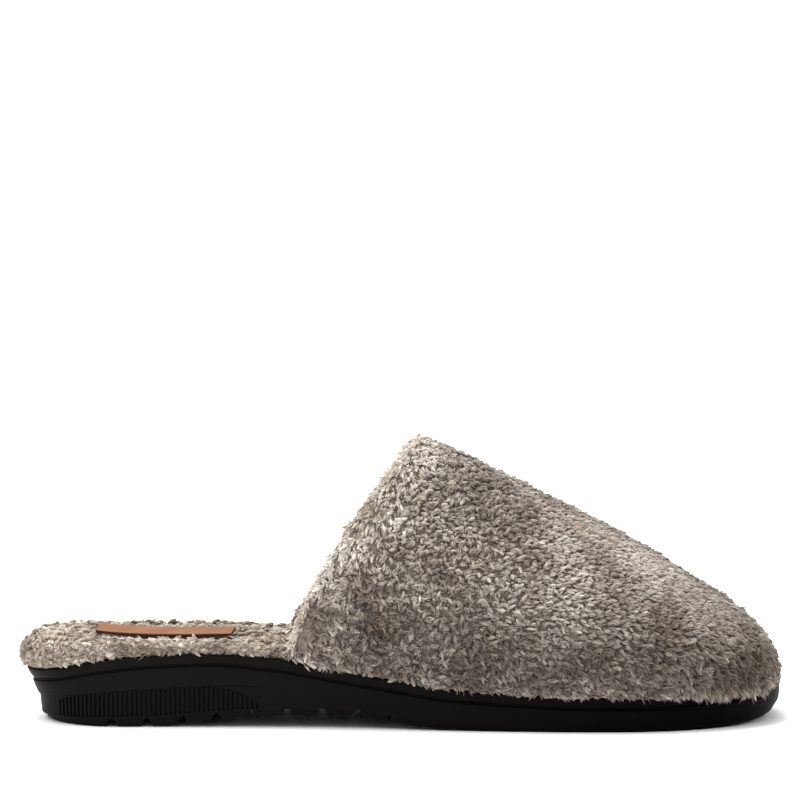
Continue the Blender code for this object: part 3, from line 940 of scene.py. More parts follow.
    def panel_ring(self, row: Panel, station: Array, side: Array) -> Array:
        """Points of one level of the ribbed panel, set back between the ribs.

        Args:
            row: The level within the panel.
            station: Stations of the loop.
            side: The side of the foot at each.

        Returns:
            Points in the frame.
        """
        first, last = self.rib_panel
        front = arc((last - station) / self.rib_front_round, 2.0)
        back = arc((station - first + self.rib_back_lead) / self.rib_back_round, 2.0)
        within = (station > first) & (station < last)
        cap = np.where(within, np.minimum(front, back), 1.0)
        ends = (self.panel_foot, self.panel_head)
        low, high = (self.height(level, station) for level in ends)
        least = low + row.step * (row.share == 0)
        z = np.clip(low + (high - low) * cap * row.share + row.step, least, high - self.panel_clear)
        inset_low, inset_high = (self.inset(level, station) for level in ends)
        inset = inset_low + (inset_high - inset_low) * ((z - low) / (high - low))
        phase = (station - first) / (last - first) * self.rib_count % 1.0
        gap = within & (phase > self.rib_gap[0]) & (phase < self.rib_gap[1])
        gap = gap & (cap * (high - low) > self.rib_least_height)
        inset = inset + self.rib_depth * gap * row.ribbed
        x, y = self.last.offset_plan(station, side, -inset)
        return self.last.place(np.column_stack((x, y, z)))

    def lug_bars(self) -> BMesh:
        """Wavy bars across the tread that part it into lugs."""
        bm = bmesh.new()
        first = self.last.length * self.lug_first
        count = int(self.last.length * (self.lug_last - self.lug_first) / self.lug_pitch) + 1
        wave = self.lug_wave * np.sin(np.linspace(0, 2 * math.pi, self.lug_points))
        half, roof_half = self.lug_width / 2, self.lug_roof / 2
        for index in range(count):
            middle = first + index * self.lug_pitch
            station = middle / self.last.length
            margin = self.lug_blind_margin if station > self.lug_open_end else -self.lug_blind_margin
            outer = self.last.rim_offset(station, -1.0) + margin
            inner = self.last.rim_offset(station, 1.0) - margin
            foot = float(PROFILE.at("lift", station))
            roof = foot + self.lug_depth
            bottom, shoulder = foot - self.lug_sink, roof - self.lug_round
            flat = roof_half - self.lug_round
            x = np.array((-half, half, roof_half, flat, -flat, -roof_half))
            z = np.array((bottom, bottom, shoulder, roof, roof, shoulder))
            across = np.linspace(outer, inner, self.lug_points)
            rows = [
                self.last.place(np.column_stack((middle + shift + x, np.full(len(x), y), z)))
                for shift, y in zip(wave, across)
            ]
            loop = [bm.verts.new(point) for point in rows[0]]
            bm.faces.new(loop)
            for row in rows[1:]:
                loop = extrude_loop(bm, loop, row)
            bm.faces.new(loop)
        return bm

    def build(self) -> Piece:
        """Model the sole, cut its lugs and dress it."""
        station, side = self.stations()
        tread = cross_grid(self.ring(self.tread_edge, station, side), 2)
        rings = [self.ring(level, station, side) for level in self.tread_levels]
        rings += [self.panel_ring(row, station, side) for row in self.panel_rows]
        levels = (self.panel_head, *self.wall_levels)
        rings += [self.ring(level, station, side) for level in levels]
        shapes = {
            "sole blank": lofted(tread, rings, cross_grid(rings[-1], 2)),
            "lug bars": self.lug_bars(),
        }
        parts = []
        for name, shape in shapes.items():
            bmesh.ops.recalc_face_normals(shape, faces=shape.faces)
            parts.append(new_object(name, new_mesh(name, shape)))
        blank, cutter = parts
        cut = blank.modifiers.new("lugs", "BOOLEAN")
        cut.operation = "DIFFERENCE"
        cut.solver = "EXACT"
        cut.object = cutter
        bm = bmesh.new()
        bm.from_object(blank, bpy.context.evaluated_depsgraph_get())
        for part in parts:
            bpy.data.objects.remove(part, do_unlink=True)
        material = RubberFinish().material()
        piece = finish_piece("unit_sole", bm, material, sharp=self.sharp_angle)
        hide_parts("outsole")
        return piece


# Fleece


@dataclass
class Tufts:
    """Tufts of fleece on a surface, a row for each, in millimetres.

    lean holds two angles from the normal, where a tuft leaves the backing and at its tip.
    """

    root: Array
    normal: Array
    flow: Array
    length: Array
    lean: Array
    tone: Array

    def pick(self, which: Array) -> "Tufts":
        """The tufts that a mask or a list of numbers picks."""
        return Tufts(*(getattr(self, name)[which] for name in self.__dataclass_fields__))

    @staticmethod
    def joined(several: list["Tufts"]) -> "Tufts":
        """Several fields of tufts as one."""
        names = Tufts.__dataclass_fields__
        return Tufts(*(np.concatenate([getattr(tufts, name) for tufts in several]) for name in names))


class Groom(NamedTuple):
    """How a field of tufts is groomed before its place tells on it.

    length is a range. The rest are means with their spreads: the angle at which a tuft leaves
    the backing, the angle of its tip, and its tone.
    """

    length: tuple[float, float]
    start: tuple[float, float]
    tip: tuple[float, float]
    tone: tuple[float, float]

    def lengths(self, rng: Chance, count: int) -> Array:
        """Draw lengths in millimetres."""
        return rng.uniform(*self.length, count)

    def leans(self, rng: Chance, count: int) -> Array:
        """Draw the two angles of each tuft."""
        return np.column_stack((rng.normal(*self.start, count), rng.normal(*self.tip, count)))

    def tones(self, rng: Chance, count: int) -> Array:
        """Draw tones, from 0 in shadow to 1 in full light."""
        return rng.normal(*self.tone, count)


@dataclass(frozen=True)
class Strand:
    """One kind of lock in a tuft: a bent spindle of a few faces that ends in a point.

    spread is how far from the tuft's middle its foot may be, gather how much of that is gone
    at its tip, and stray and curl how far it strays from the tuft's lean and to the side.
    rings holds shares of the length, each with a share of the width. reach is its length as
    a share of the tuft's, and light how far up the pile's colours its tip gets.
    """

    count: int
    width: float
    spread: float
    gather: float
    stray: float
    curl: float
    sides: int = 3
    rings: tuple[tuple[float, float], ...] = ((0.6, 1.0),)
    reach: float = 1.0
    light: float = 1.0
    length_spread: float = 0.12
    length_limits: tuple[float, float] = (0.6, 1.4)
    width_range: tuple[float, float] = (0.75, 1.25)
    tone_spread: float = 0.07
    least_bend: float = 0.05

    def straight(self) -> tuple[Array, Array]:
        """Model one straight lock.

        Returns:
            Its points, with z as the share of its length, and its triangles.
        """
        bm = bmesh.new()
        (waist, girth), *rest = self.rings
        loop = bmesh.ops.create_circle(bm, segments=self.sides, radius=girth / 2)["verts"]
        bmesh.ops.translate(bm, verts=loop, vec=(0, 0, waist))
        foot = extrude_loop(bm, loop, [vert.co.copy() for vert in loop])
        for share, width in rest + [(1.0, girth)]:
            outward = [vert.co.xy.normalized() * width / 2 for vert in loop]
            loop = extrude_loop(bm, loop, [(*place, share) for place in outward])
        bmesh.ops.pointmerge(bm, verts=foot, merge_co=(0, 0, 0))
        bmesh.ops.pointmerge(bm, verts=loop, merge_co=(0, 0, 1))
        bmesh.ops.recalc_face_normals(bm, faces=bm.faces)
        bmesh.ops.triangulate(bm, faces=bm.faces)
        bm.verts.index_update()
        points = np.array([vert.co for vert in bm.verts])
        faces = np.array([[vert.index for vert in face.verts] for face in bm.faces])
        bm.free()
        return points, faces

    def laid(
        self, shape: Array, tufts: Tufts, sink: float, rng: Chance,
    ) -> tuple[Array, Array]:
        """Bend the straight lock over for each tuft.

        Args:
            shape: Points of the straight lock.
            tufts: Where the tufts stand and how they lie.
            sink: Depth of the locks' feet below the tufts' roots.
            rng: Source of the locks' differences.

        Returns:
            Points of each lock, in the slipper's own lines, and each lock's tone.
        """
        count = len(tufts.root) * self.count
        of = np.repeat(np.arange(len(tufts.root)), self.count)
        turn = rng.uniform(0, 2 * math.pi, count)
        reach = self.spread * np.sqrt(rng.uniform(0, 1, count))
        along, across = (reach * np.cos(turn))[:, None], (reach * np.sin(turn))[:, None]
        vary = np.clip(rng.normal(1, self.length_spread, count), *self.length_limits)
        length = (self.reach * tufts.length[of] * vary)[:, None]
        start = (tufts.lean[of, 0] + rng.normal(0, self.stray, count))[:, None]
        bend = (tufts.lean[of, 1] - tufts.lean[of, 0] + rng.normal(0, self.stray, count))[:, None]
        bend = np.where(np.abs(bend) < self.least_bend, self.least_bend, bend)
        curl = rng.normal(0, self.curl, count)[:, None]
        width = (self.width * rng.uniform(*self.width_range, count))[:, None]
        share = shape[:, 2][None, :]
        angle = start + bend * share
        thick = width * shape[:, 1][None, :]
        up = length * (np.sin(angle) - np.sin(start)) / bend - sink + thick * np.sin(angle)
        apart = 1 - self.gather * share
        ahead = length * (np.cos(start) - np.cos(angle)) / bend + along * apart
        ahead = ahead - thick * np.cos(angle)
        aside = across * apart + curl * length * share**2 + width * shape[:, 0][None, :]
        normal, flow = tufts.normal[of], tufts.flow[of]
        side = np.cross(normal, flow)
        points = (
            tufts.root[of][:, None, :]
            + up[..., None] * normal[:, None, :]
            + ahead[..., None] * flow[:, None, :]
            + aside[..., None] * side[:, None, :]
        )
        return points, np.clip(tufts.tone[of] + rng.normal(0, self.tone_spread, count), 0, 1)


@dataclass(frozen=True)
class Pile:
    """Pile of a fleece: tufts that are each made of a few kinds of strand.

    sink is the depth of the feet below the backing, and lift how far the lightest tufts, those
    with a tone in the band, are light to the root.
    """

    strands: tuple[Strand, ...]
    sink: float = 0.4
    lift: float = 0.68
    lift_band: tuple[float, float] = (0.6, 1.0)

    def grow(
        self, name: str, tufts: Tufts, last: Last, material: Material, slot: str, rng: Chance,
    ) -> Piece:
        """Grow all tufts as one joined mesh.

        Args:
            name: Name of the piece.
            tufts: Where the tufts stand and how they lie.
            last: The slipper's place in the frame.
            material: The fleece.
            slot: Not used.
            rng: Source of the locks' differences.

        Returns:
            The piece.
        """
        points, triangles, rise, tone = [], [], [], []
        first = 0
        for strand in self.strands:
            shape, faces = strand.straight()
            laid, shade = strand.laid(shape, tufts, self.sink, rng)
            points.append(laid.reshape(-1, 3))
            start = first + np.arange(len(laid))[:, None, None] * len(shape)
            triangles.append((start + faces).reshape(-1, 3))
            # The rise darkens to the root, partly painted shade in the pile; strands with light under
            # 1 stay darker as painted shade, and lift takes it off the lightest tufts.
            lift = self.lift * smooth_step(*self.lift_band, shade)[:, None]
            rise.append((1 - (1 - shape[:, 2] * strand.light) * (1 - lift)).ravel())
            tone.append(np.repeat(shade, len(shape)))
            first += len(points[-1])
        faces = np.concatenate(triangles)
        mesh = bpy.data.meshes.new(name)
        mesh.from_pydata(last.place(np.concatenate(points)), (), faces)
        mesh.polygons.foreach_set("use_smooth", np.ones(len(faces), dtype=bool))
        for title, values in (("rise", rise), ("tone", tone)):
            layer = mesh.attributes.new(title, "FLOAT", "POINT")
            layer.data.foreach_set("value", np.concatenate(values).astype(np.float32))
        return add_piece(name, mesh, material)


def turned(flow: Array, normal: Array, angle: Array) -> Array:
    """Directions turned about the normals by angles."""
    return flow * np.cos(angle)[:, None] + np.cross(normal, flow) * np.sin(angle)[:, None]


def on_surface(vectors: Array, normal: Array) -> Array:
    """Directions laid on the surface."""
    return unit(vectors - (vectors * normal).sum(axis=1, keepdims=True) * normal)


# Upper


class Zone(Enum):
    """Stretch of the upper's fleece, with the shares round the upper that it spans."""

    OUTER_SIDE = (0.0, 0.24)
    OUTER_TOP = (0.24, 0.5)
    INNER_TOP = (0.5, 0.76)
    INNER_SIDE = (0.76, 1.0)


@dataclass
class Upper:
    """Closed-toe upper of fleece on a knitted backing, open at the collar and underneath."""

    last: Last
    instep_height: float = 96.4
    outset: float = 1.0
    bulge: float = 1.1
    bulge_top: float = 0.42
    bulge_end: tuple[float, float] = (0.82, 0.95)
    wing_station: tuple[float, float] = (0.355, 0.340)
    wing_curve: tuple[float, float] = (1.50, 1.02)
    toe_lean: tuple[float, float] = (0.0, 0.62)
    crest_slope_reach: float = 2.0
    pile_depth: float = 1.7
    toe_depth: float = 2.0
    toe_depth_band: tuple[float, float] = (0.94, 1.0)
    backing: float = 1.0
    collar_roll: float = 0.7
    shell_cells: tuple[int, int] = (64, 84)
    tuft_lines: int = 112
    tuft_density: float = 0.262
    lining_lines: int = 56
    lining_density: float = 0.085
    lining_end: float = 0.92
    lining_thinned: tuple[float, float] = (0.5, 0.7)
    line_steps: int = 240
    collar_band: float = 0.10
    collar_tufts: int = 1150
    hem_tufts: int = 560
    fringe: tuple[float, float] = (0.4, 3.3)
    hem_clear: float = 0.7
    low_band: tuple[float, float] = (0.05, 0.45)
    toe_band: tuple[float, float] = (0.72, 1.0)
    wing_band: tuple[float, float] = (0.18, 0.42)
    nose_band: tuple[float, float] = (0.93, 1.0)
    droop_start: tuple[float, float] = (0.50, 0.72)
    droop_end: tuple[float, float] = (0.79, 0.93)
    ruffle: tuple[float, float] = (0.22, 0.70)
    ruffle_reach: tuple[float, float] = (0.13, 0.20)
    peak_reach: float = 0.06
    # The grooms' tones paint light and shade: the collar's tufts near full light, as painted light,
    # and the hem's darker, as painted shade.
    outer_groom: Groom = Groom((3.1, 3.9), (0.38, 0.15), (1.58, 0.2), (0.60, 0.11))
    collar_groom: Groom = Groom((2.6, 3.4), (0.85, 0.15), (1.6, 0.12), (0.97, 0.05))
    hem_groom: Groom = Groom((2.0, 2.8), (0.7, 0.15), (1.9, 0.25), (0.25, 0.15))
    lining_groom: Groom = Groom((2.2, 3.0), (0.7, 0.15), (1.75, 0.2), (0.30, 0.10))
    pile: Pile = Pile((
        Strand(1, 1.2, 0.0, 0.0, 0.06, 0.14, 4, ((0.25, 0.75), (0.62, 1.0), (0.9, 0.6))),
        Strand(6, 0.6, 0.72, 0.55, 0.16, 0.20, light=0.96),
        Strand(4, 1.0, 1.5, 0.0, 0.35, 0.30, reach=0.70, light=0.62),
    ))
    lining_pile: Pile = Pile((
        Strand(1, 1.3, 0.0, 0.0, 0.06, 0.10, 4),
        Strand(3, 1.1, 1.8, 0.5, 0.18, 0.18),
    ))

    def skin(self, along: Array, around: Array) -> Array:
        """Surface that the tips of the pile reach.

        Args:
            along: Shares from the collar to the toe.
            around: Shares from the outer hem over the crest to the inner hem.

        Returns:
            Points of the slipper's own lines.
        """
        side = np.where(around <= 0.5, -1.0, 1.0)
        rise = 1 - np.abs(2 * around - 1)
        start = np.arccos(1 - 2 * np.where(side < 0, *self.wing_station))
        station = (1 - np.cos(start + (math.pi - start) * along)) / 2
        fullness = np.where(side < 0, CREST.at("outer", along), CREST.at("inner", along))
        angle = rise * math.pi / 2
        inwards = 1 - np.abs(np.cos(angle)) ** (2 / fullness)
        upwards = np.sin(angle) ** (2 / fullness)
        base_x, base_y, out_x, out_y = self.last.hem_frame(station, side, self.outset)
        base_z = PROFILE.at("rim", station) + self.last.gap
        crest_x = self.last.length * CREST.at("station", along)
        lean = smooth_step(*self.toe_lean, along)
        forward = (1 - lean) * upwards ** np.where(side < 0, *self.wing_curve) + lean * inwards
        x = base_x + (crest_x - base_x) * forward
        y = base_y + (CREST.at("across", along) - base_y) * inwards
        z = base_z + (self.instep_height * CREST.at("height", along) - base_z) * upwards
        z = z + lean * self.crest_slope(along) * (x - crest_x) * upwards**self.crest_slope_reach
        bulge = self.bulge * np.sin(np.clip(rise / self.bulge_top, 0, 1) * math.pi)
        bulge = bulge * fade(*self.bulge_end, along)
        return np.stack((x + out_x * bulge, y + out_y * bulge, z), axis=-1)

    def crest_slope(self, along: Array) -> Array:
        """Rise of the crest over its run."""
        ahead, behind = np.minimum(along + 0.01, 1.0), np.maximum(along - 0.01, 0.0)
        rise = self.instep_height * (CREST.at("height", ahead) - CREST.at("height", behind))
        return rise / (self.last.length * (CREST.at("station", ahead) - CREST.at("station", behind)))

    def surface(self, along: Array, around: Array) -> tuple[Array, Array, Array]:
        """Skin with its frame.

        Args:
            along: Shares from the collar to the toe.
            around: Shares from the outer hem to the inner hem.

        Returns:
            Points, outward normals and directions to the toe along the skin.
        """
        step = 1e-3
        after, before = np.minimum(along + step, 1), np.maximum(along - step, 0)
        inner, outer = np.minimum(around + step, 1), np.maximum(around - step, 0)
        ahead = self.skin(after, around) - self.skin(before, around)
        over = self.skin(along, inner) - self.skin(along, outer)
        return self.skin(along, around), unit(np.cross(ahead, over)), unit(ahead)

    def shell_grid(self) -> tuple[Array, Array, Array]:
        """Points, normals and toeward directions of the grid that the backing is made on."""
        rows, columns = self.shell_cells
        shares = (np.linspace(0, 1, rows + 1), np.linspace(0, 1, columns + 1))
        points, normals, ahead = self.surface(*np.meshgrid(*shares, indexing="ij"))
        normals[-1] = unit(normals[-1] + normals[-1, ::-1])
        normals[-1, columns // 2] = normals[-2, columns // 2]
        return points, normals, ahead

    def depth(self, along: Array) -> Array:
        """Depth of the backing below the skin, greater at the toe, as a column."""
        deeper = self.toe_depth * smooth_step(*self.toe_depth_band, along)
        return (self.pile_depth + deeper)[:, None]

    def build_backing(self) -> Piece:
        """Model the knitted backing that carries the pile on both faces."""
        points, normals, ahead = self.shell_grid()
        depth = self.depth(np.linspace(0, 1, len(points)))[:, None]
        outer = points - normals * depth
        lining = points - normals * (depth + self.backing)
        middle = (outer + lining) / 2
        middle[0, 1:-1] -= ahead[0, 1:-1] * self.collar_roll
        for sheet in (outer, middle, lining):
            sheet[:, (0, -1), 2] = points[:, (0, -1), 2]
        bm = bmesh.new()
        loop = hood_loop(add_grid(bm, self.last.place(outer)))
        loop = extrude_loop(bm, loop, hood_loop(list(self.last.place(middle))))
        extrude_loop(bm, loop, hood_loop(list(self.last.place(lining))))
        add_grid(bm, self.last.place(lining))
        bmesh.ops.remove_doubles(bm, verts=bm.verts, dist=1e-6)
        # The backing's dark colour partly paints the shade between the tufts.
        finish = BackingFinish("knitted_backing_grey", "#70665d", "#90857b")
        piece = finish_piece("upper_backing", bm, finish.material())
        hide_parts("upper")
        return piece

    def scatter(self, lines: int, density: float, rng: Chance) -> tuple[Array, Array]:
        """Places for tufts on the skin, evenly by area, in lines from the collar to the toe.

        Args:
            lines: Number of lines round the skin.
            density: Tufts to a square millimetre.
            rng: Source of chance.

        Returns:
            Shares along and round the skin.
        """
        steps = np.linspace(0, 1, self.line_steps + 1)
        corner = self.skin(*np.meshgrid(steps, np.linspace(0, 1, lines + 1), indexing="ij"))
        one, other = corner[1:, 1:] - corner[:-1, :-1], corner[1:, :-1] - corner[:-1, 1:]
        grown = np.cumsum(np.linalg.norm(np.cross(one, other), axis=-1) / 2 * density, axis=0)
        along, around = [], []
        for line in range(lines):
            count = np.arange(rng.uniform(), grown[-1, line], 1.0)
            jitter = rng.uniform(-0.25, 0.25, len(count))
            along.append(np.interp(count + jitter, np.append(0, grown[:, line]), steps))
            around.append((line + 0.5 + rng.uniform(-0.32, 0.32, len(count))) / lines)
        return np.concatenate(along), np.concatenate(around)

    def outer_tufts(self, rng: Chance) -> tuple[Tufts, Array]:
        """Tufts over the outside of the upper.

        Most lie to the toe and a little down. Those at the collar are long and lie back over
        its edge, those on the wings stand up and go all ways, and those by the hem hang down.

        Args:
            rng: Source of chance.

        Returns:
            The tufts and their shares round the upper.
        """
        along, around = self.scatter(self.tuft_lines, self.tuft_density, rng)
        clear = self.hem_share(along, around, self.hem_clear)
        around = np.clip(around, clear, 1 - clear)
        points, normal, _ = self.surface(along, around)
        count = len(along)
        rise = 1 - np.abs(2 * around - 1)
        low = fade(*self.low_band, rise)
        droop = self.droop(along)
        toe = smooth_step(*self.toe_band, along)
        collar = fade(0.2 * self.collar_band, self.collar_band, along)
        wing = fade(*self.wing_band, along) * (1 - collar)
        (middle, level), (reach, height) = self.ruffle, self.ruffle_reach
        ruffled = np.exp(-(((along - middle) / reach) ** 2) - ((rise - level) / height) ** 2)

        down = 0.12 + low * (0.45 + 0.7 * droop) + 0.95 * toe * (0.4 + low) + 0.9 * collar
        back = collar * smooth_step(0.06, 0.3, rise) * fade(0.8, 0.95, rise)
        forward = 1 - 0.15 * low - 0.35 * toe - 1.6 * back
        flow = on_surface(np.column_stack((forward, np.zeros(count), -down)), normal)
        loose = np.maximum(wing * (1 - 0.5 * smooth_step(0.6, 0.9, rise)), 0.35 * low)
        spread = 0.26 - 0.12 * smooth_step(0.35, 0.6, along) - 0.08 * collar + 0.85 * loose
        spread = spread + 0.5 * collar * fade(0.15, 0.5, rise) * (around < 0.5)
        flow = turned(flow, normal, rng.normal(0, spread, count))
        length = self.outer_groom.lengths(rng, count)
        length = length * (1 + 0.15 * low + 0.30 * low * droop + 0.25 * collar)
        flow = self.held_up(along, around, flow, length)

        lean = self.outer_groom.leans(rng, count)
        lean += np.outer(collar, (0.60, 0.0)) + np.outer(wing, (-0.42, 0.36))
        lean += np.outer(toe, (0.14, -0.05)) - np.outer(ruffled, (0.1, 0.1))
        lean[:, 0] += 0.2 * smooth_step(0.7, 0.95, rise) + 0.55 * smooth_step(0.9, 1.0, along)
        lean[:, 1] += 0.45 * fade(0.0, 0.10, rise) * (1 - toe)

        # Painted light and shade in the tone: lighter at the collar and over the back part, darker low
        # on the sides, towards the toe, over the ruffled patch and near the crest; the rest is random
        # tone.
        painted_toe_shade = smooth_step(0.55, 0.95, along) * (1 - 0.6 * rise)
        tone = self.outer_groom.tones(rng, count)
        tone += 0.44 * collar - 0.50 * low - 0.72 * painted_toe_shade - 0.42 * ruffled
        tone -= smooth_step(0.75, 1.0, rise) * (0.45 - 0.1 * collar)
        tone += 0.10 * fade(0.40, 0.60, along) * (1 - collar)
        root = points - normal * self.depth(along)
        return Tufts(root, normal, flow, length, lean, np.clip(tone, 0, 1)), around

    def hem_share(self, along: Array, around: Array, height: Array | float) -> Array:
        """Share round the skin, from the nearer hem, at which it is a height above the hem.

        Args:
            along: Shares from the collar to the toe.
            around: Shares from the outer hem to the inner hem, for the side.
            height: Heights above the hem.

        Returns:
            The shares.
        """
        fullness = np.where(around <= 0.5, CREST.at("outer", along), CREST.at("inner", along))
        hem = self.skin(along, np.round(around))[:, 2]
        upwards = height / np.maximum(self.instep_height * CREST.at("height", along) - hem, 4 * height)
        return np.arcsin(upwards ** (fullness / 2)) / math.pi

    def droop(self, along: Array) -> Array:
        """How fully the fringe hangs, most beside the toe and less at its nose."""
        return smooth_step(*self.droop_start, along) * fade(*self.droop_end, along)

    def held_up(self, along: Array, around: Array, flow: Array, length: Array) -> Array:
        """Turn tufts near the hem along it, so that few hang over the rim.

        Args:
            along: Shares from the collar to the toe.
            around: Shares from the outer hem to the inner hem.
            flow: How the tufts lie.
            length: Length of each tuft.

        Returns:
            How the tufts lie then.
        """
        hem = self.skin(along, np.round(around))
        flank, toe = self.fringe
        room = (self.skin(along, around) - hem)[:, 2] + flank + (toe - flank) * self.droop(along)
        drop = np.minimum(-flow[:, 2], np.clip(room / (0.75 * length), 0, 1))
        level = flow * (1.0, 1.0, 0.0)
        return unit(level) * np.sqrt(1 - drop**2)[:, None] - np.outer(drop, (0, 0, 1))

    def collar_edge_tufts(self, rng: Chance) -> Tufts:
        """Short tufts that lie along the fold of the collar, shortest at its peak and painted dimmer
        there, a painted shade.

        Args:
            rng: Source of chance.

        Returns:
            The tufts.
        """
        count = self.collar_tufts
        around = rng.uniform(0.01, 0.99, count)
        points, normal, ahead = self.surface(np.zeros(count), around)
        swing = rng.uniform(-0.5 * math.pi, 0.5 * math.pi, count)[:, None]
        out = unit(-ahead * np.cos(swing) + normal * np.sin(swing))
        peak = np.exp(-(((around - 0.5) / self.peak_reach) ** 2))
        root = points - normal * (self.pile_depth + self.backing / 2) + out * self.backing / 2
        root += ahead * (1.4 * peak)[:, None]
        falling = np.tile((-0.55, 0.0, -0.85), (count, 1))
        flow = turned(on_surface(falling, out), out, rng.normal(0, 0.4, count))
        length = self.collar_groom.lengths(rng, count) * (1 - 0.45 * peak)
        lean = self.collar_groom.leans(rng, count)
        # Painted shade: a lower tone for the tufts at the top of the collar.
        top = smooth_step(0.36, 0.46, around) * fade(0.54, 0.64, around)
        tone = self.collar_groom.tones(rng, count) - 0.3 * top
        return Tufts(root, out, flow, length, lean, np.clip(tone, 0, 1))

    def hem_edge_tufts(self, rng: Chance) -> tuple[Tufts, Array]:
        """Tufts that hang over the rim of the sole.

        Args:
            rng: Source of chance.

        Returns:
            The tufts and their shares round the upper.
        """
        count = self.hem_tufts
        along = rng.uniform(0, 1, count) ** 0.75
        around = np.where(rng.uniform(size=count) < 0.5, 0.0, 1.0)
        height = rng.uniform(self.hem_clear, 4 * self.hem_clear, count)
        around = np.abs(around - self.hem_share(along, around, height))
        points, normal, _ = self.surface(np.minimum(along, 0.995), around)
        droop = self.droop(along)
        turn = rng.normal(0, 0.6 - 0.35 * droop)
        hanging = np.column_stack((0.6 - 0.4 * droop, np.zeros(count), -np.ones(count)))
        flow = turned(on_surface(hanging, normal), normal, turn)
        length = self.hem_groom.lengths(rng, count) * (1 + droop)
        flow = self.held_up(along, around, flow, length)
        lean = self.hem_groom.leans(rng, count)
        lean[:, 0] += 0.5 * smooth_step(*self.nose_band, along)
        lean[:, 1] -= 0.35 * droop
        # Painted shade: the hem's tufts keep a low tone.
        tone = np.clip(self.hem_groom.tones(rng, count), 0, 1)
        root = points - normal * (self.pile_depth - 0.3)
        return Tufts(root, normal, flow, length, lean, tone), around

    def lining_tufts(self, rng: Chance) -> Tufts:
        """Short tufts over the inside of the upper, fewer in the toe and painted lighter at the
        collar, a painted light.

        Args:
            rng: Source of chance.

        Returns:
            The tufts.
        """
        along, around = self.scatter(self.lining_lines, self.lining_density, rng)
        hidden = 0.6 * smooth_step(*self.lining_thinned, along)
        seen = (rng.uniform(size=len(along)) > hidden) & (along < self.lining_end)
        along, around = along[seen], around[seen]
        points, normal, ahead = self.surface(along, around)
        count = len(along)
        flow = turned(on_surface(ahead, normal), -normal, rng.normal(0, 0.8, count))
        length = self.lining_groom.lengths(rng, count)
        lean = self.lining_groom.leans(rng, count)
        # Painted light: the tone is raised near the collar.
        tone = np.clip(self.lining_groom.tones(rng, count) + 0.5 * fade(0.0, 0.12, along), 0, 1)
        root = points - normal * (self.depth(along) + self.backing)
        return Tufts(root, -normal, flow, length, lean, tone)

    def build(self) -> list[Piece]:
        """Model and dress the backing and its pile, outside and inside."""
        rng = np.random.default_rng(SEED)
        material = FleeceFinish("tumbled_fleece_grey", "#968b82", "#c1b5a9", "#e9dfd3").material()
        pieces = [self.build_backing()]
        outside = (self.outer_tufts(rng), self.hem_edge_tufts(rng))
        collar = self.collar_edge_tufts(rng)
        for zone in Zone:
            low, high = zone.value
            parts = [tufts.pick((around >= low) & (around < high)) for tufts, around in outside]
            name = f"upper_fleece_{zone.name.lower()}"
            pieces.append(self.pile.grow(name, Tufts.joined(parts), self.last, material, "upper", rng))
        name = "upper_fleece_lining"
        inside = Tufts.joined([self.lining_tufts(rng), collar])
        pieces.append(self.lining_pile.grow(name, inside, self.last, material, "upper", rng))
        return pieces


# Footbed


class Patch(NamedTuple):
    """Place of the label on the footbed: its middle, its size and its turn."""

    station: float = 0.183
    across: float = 3.2
    length: float = 47.5
    width: float = 10.5
    turn: float = math.radians(-7.0)

    def distance(self, last: Last, x: Array, y: Array) -> Array:
        """How far places are from the label, in millimetres."""
        from_x, from_y = x - self.station * last.length, y - self.across
        along = np.abs(from_x * math.cos(self.turn) + from_y * math.sin(self.turn)) - self.length / 2
        aside = np.abs(from_y * math.cos(self.turn) - from_x * math.sin(self.turn)) - self.width / 2
        return np.hypot(np.maximum(along, 0), np.maximum(aside, 0))


class Round(NamedTuple):
    """One line round the edge of the footbed: how far in, and its share of the thickness."""

    inset: float
    share: float


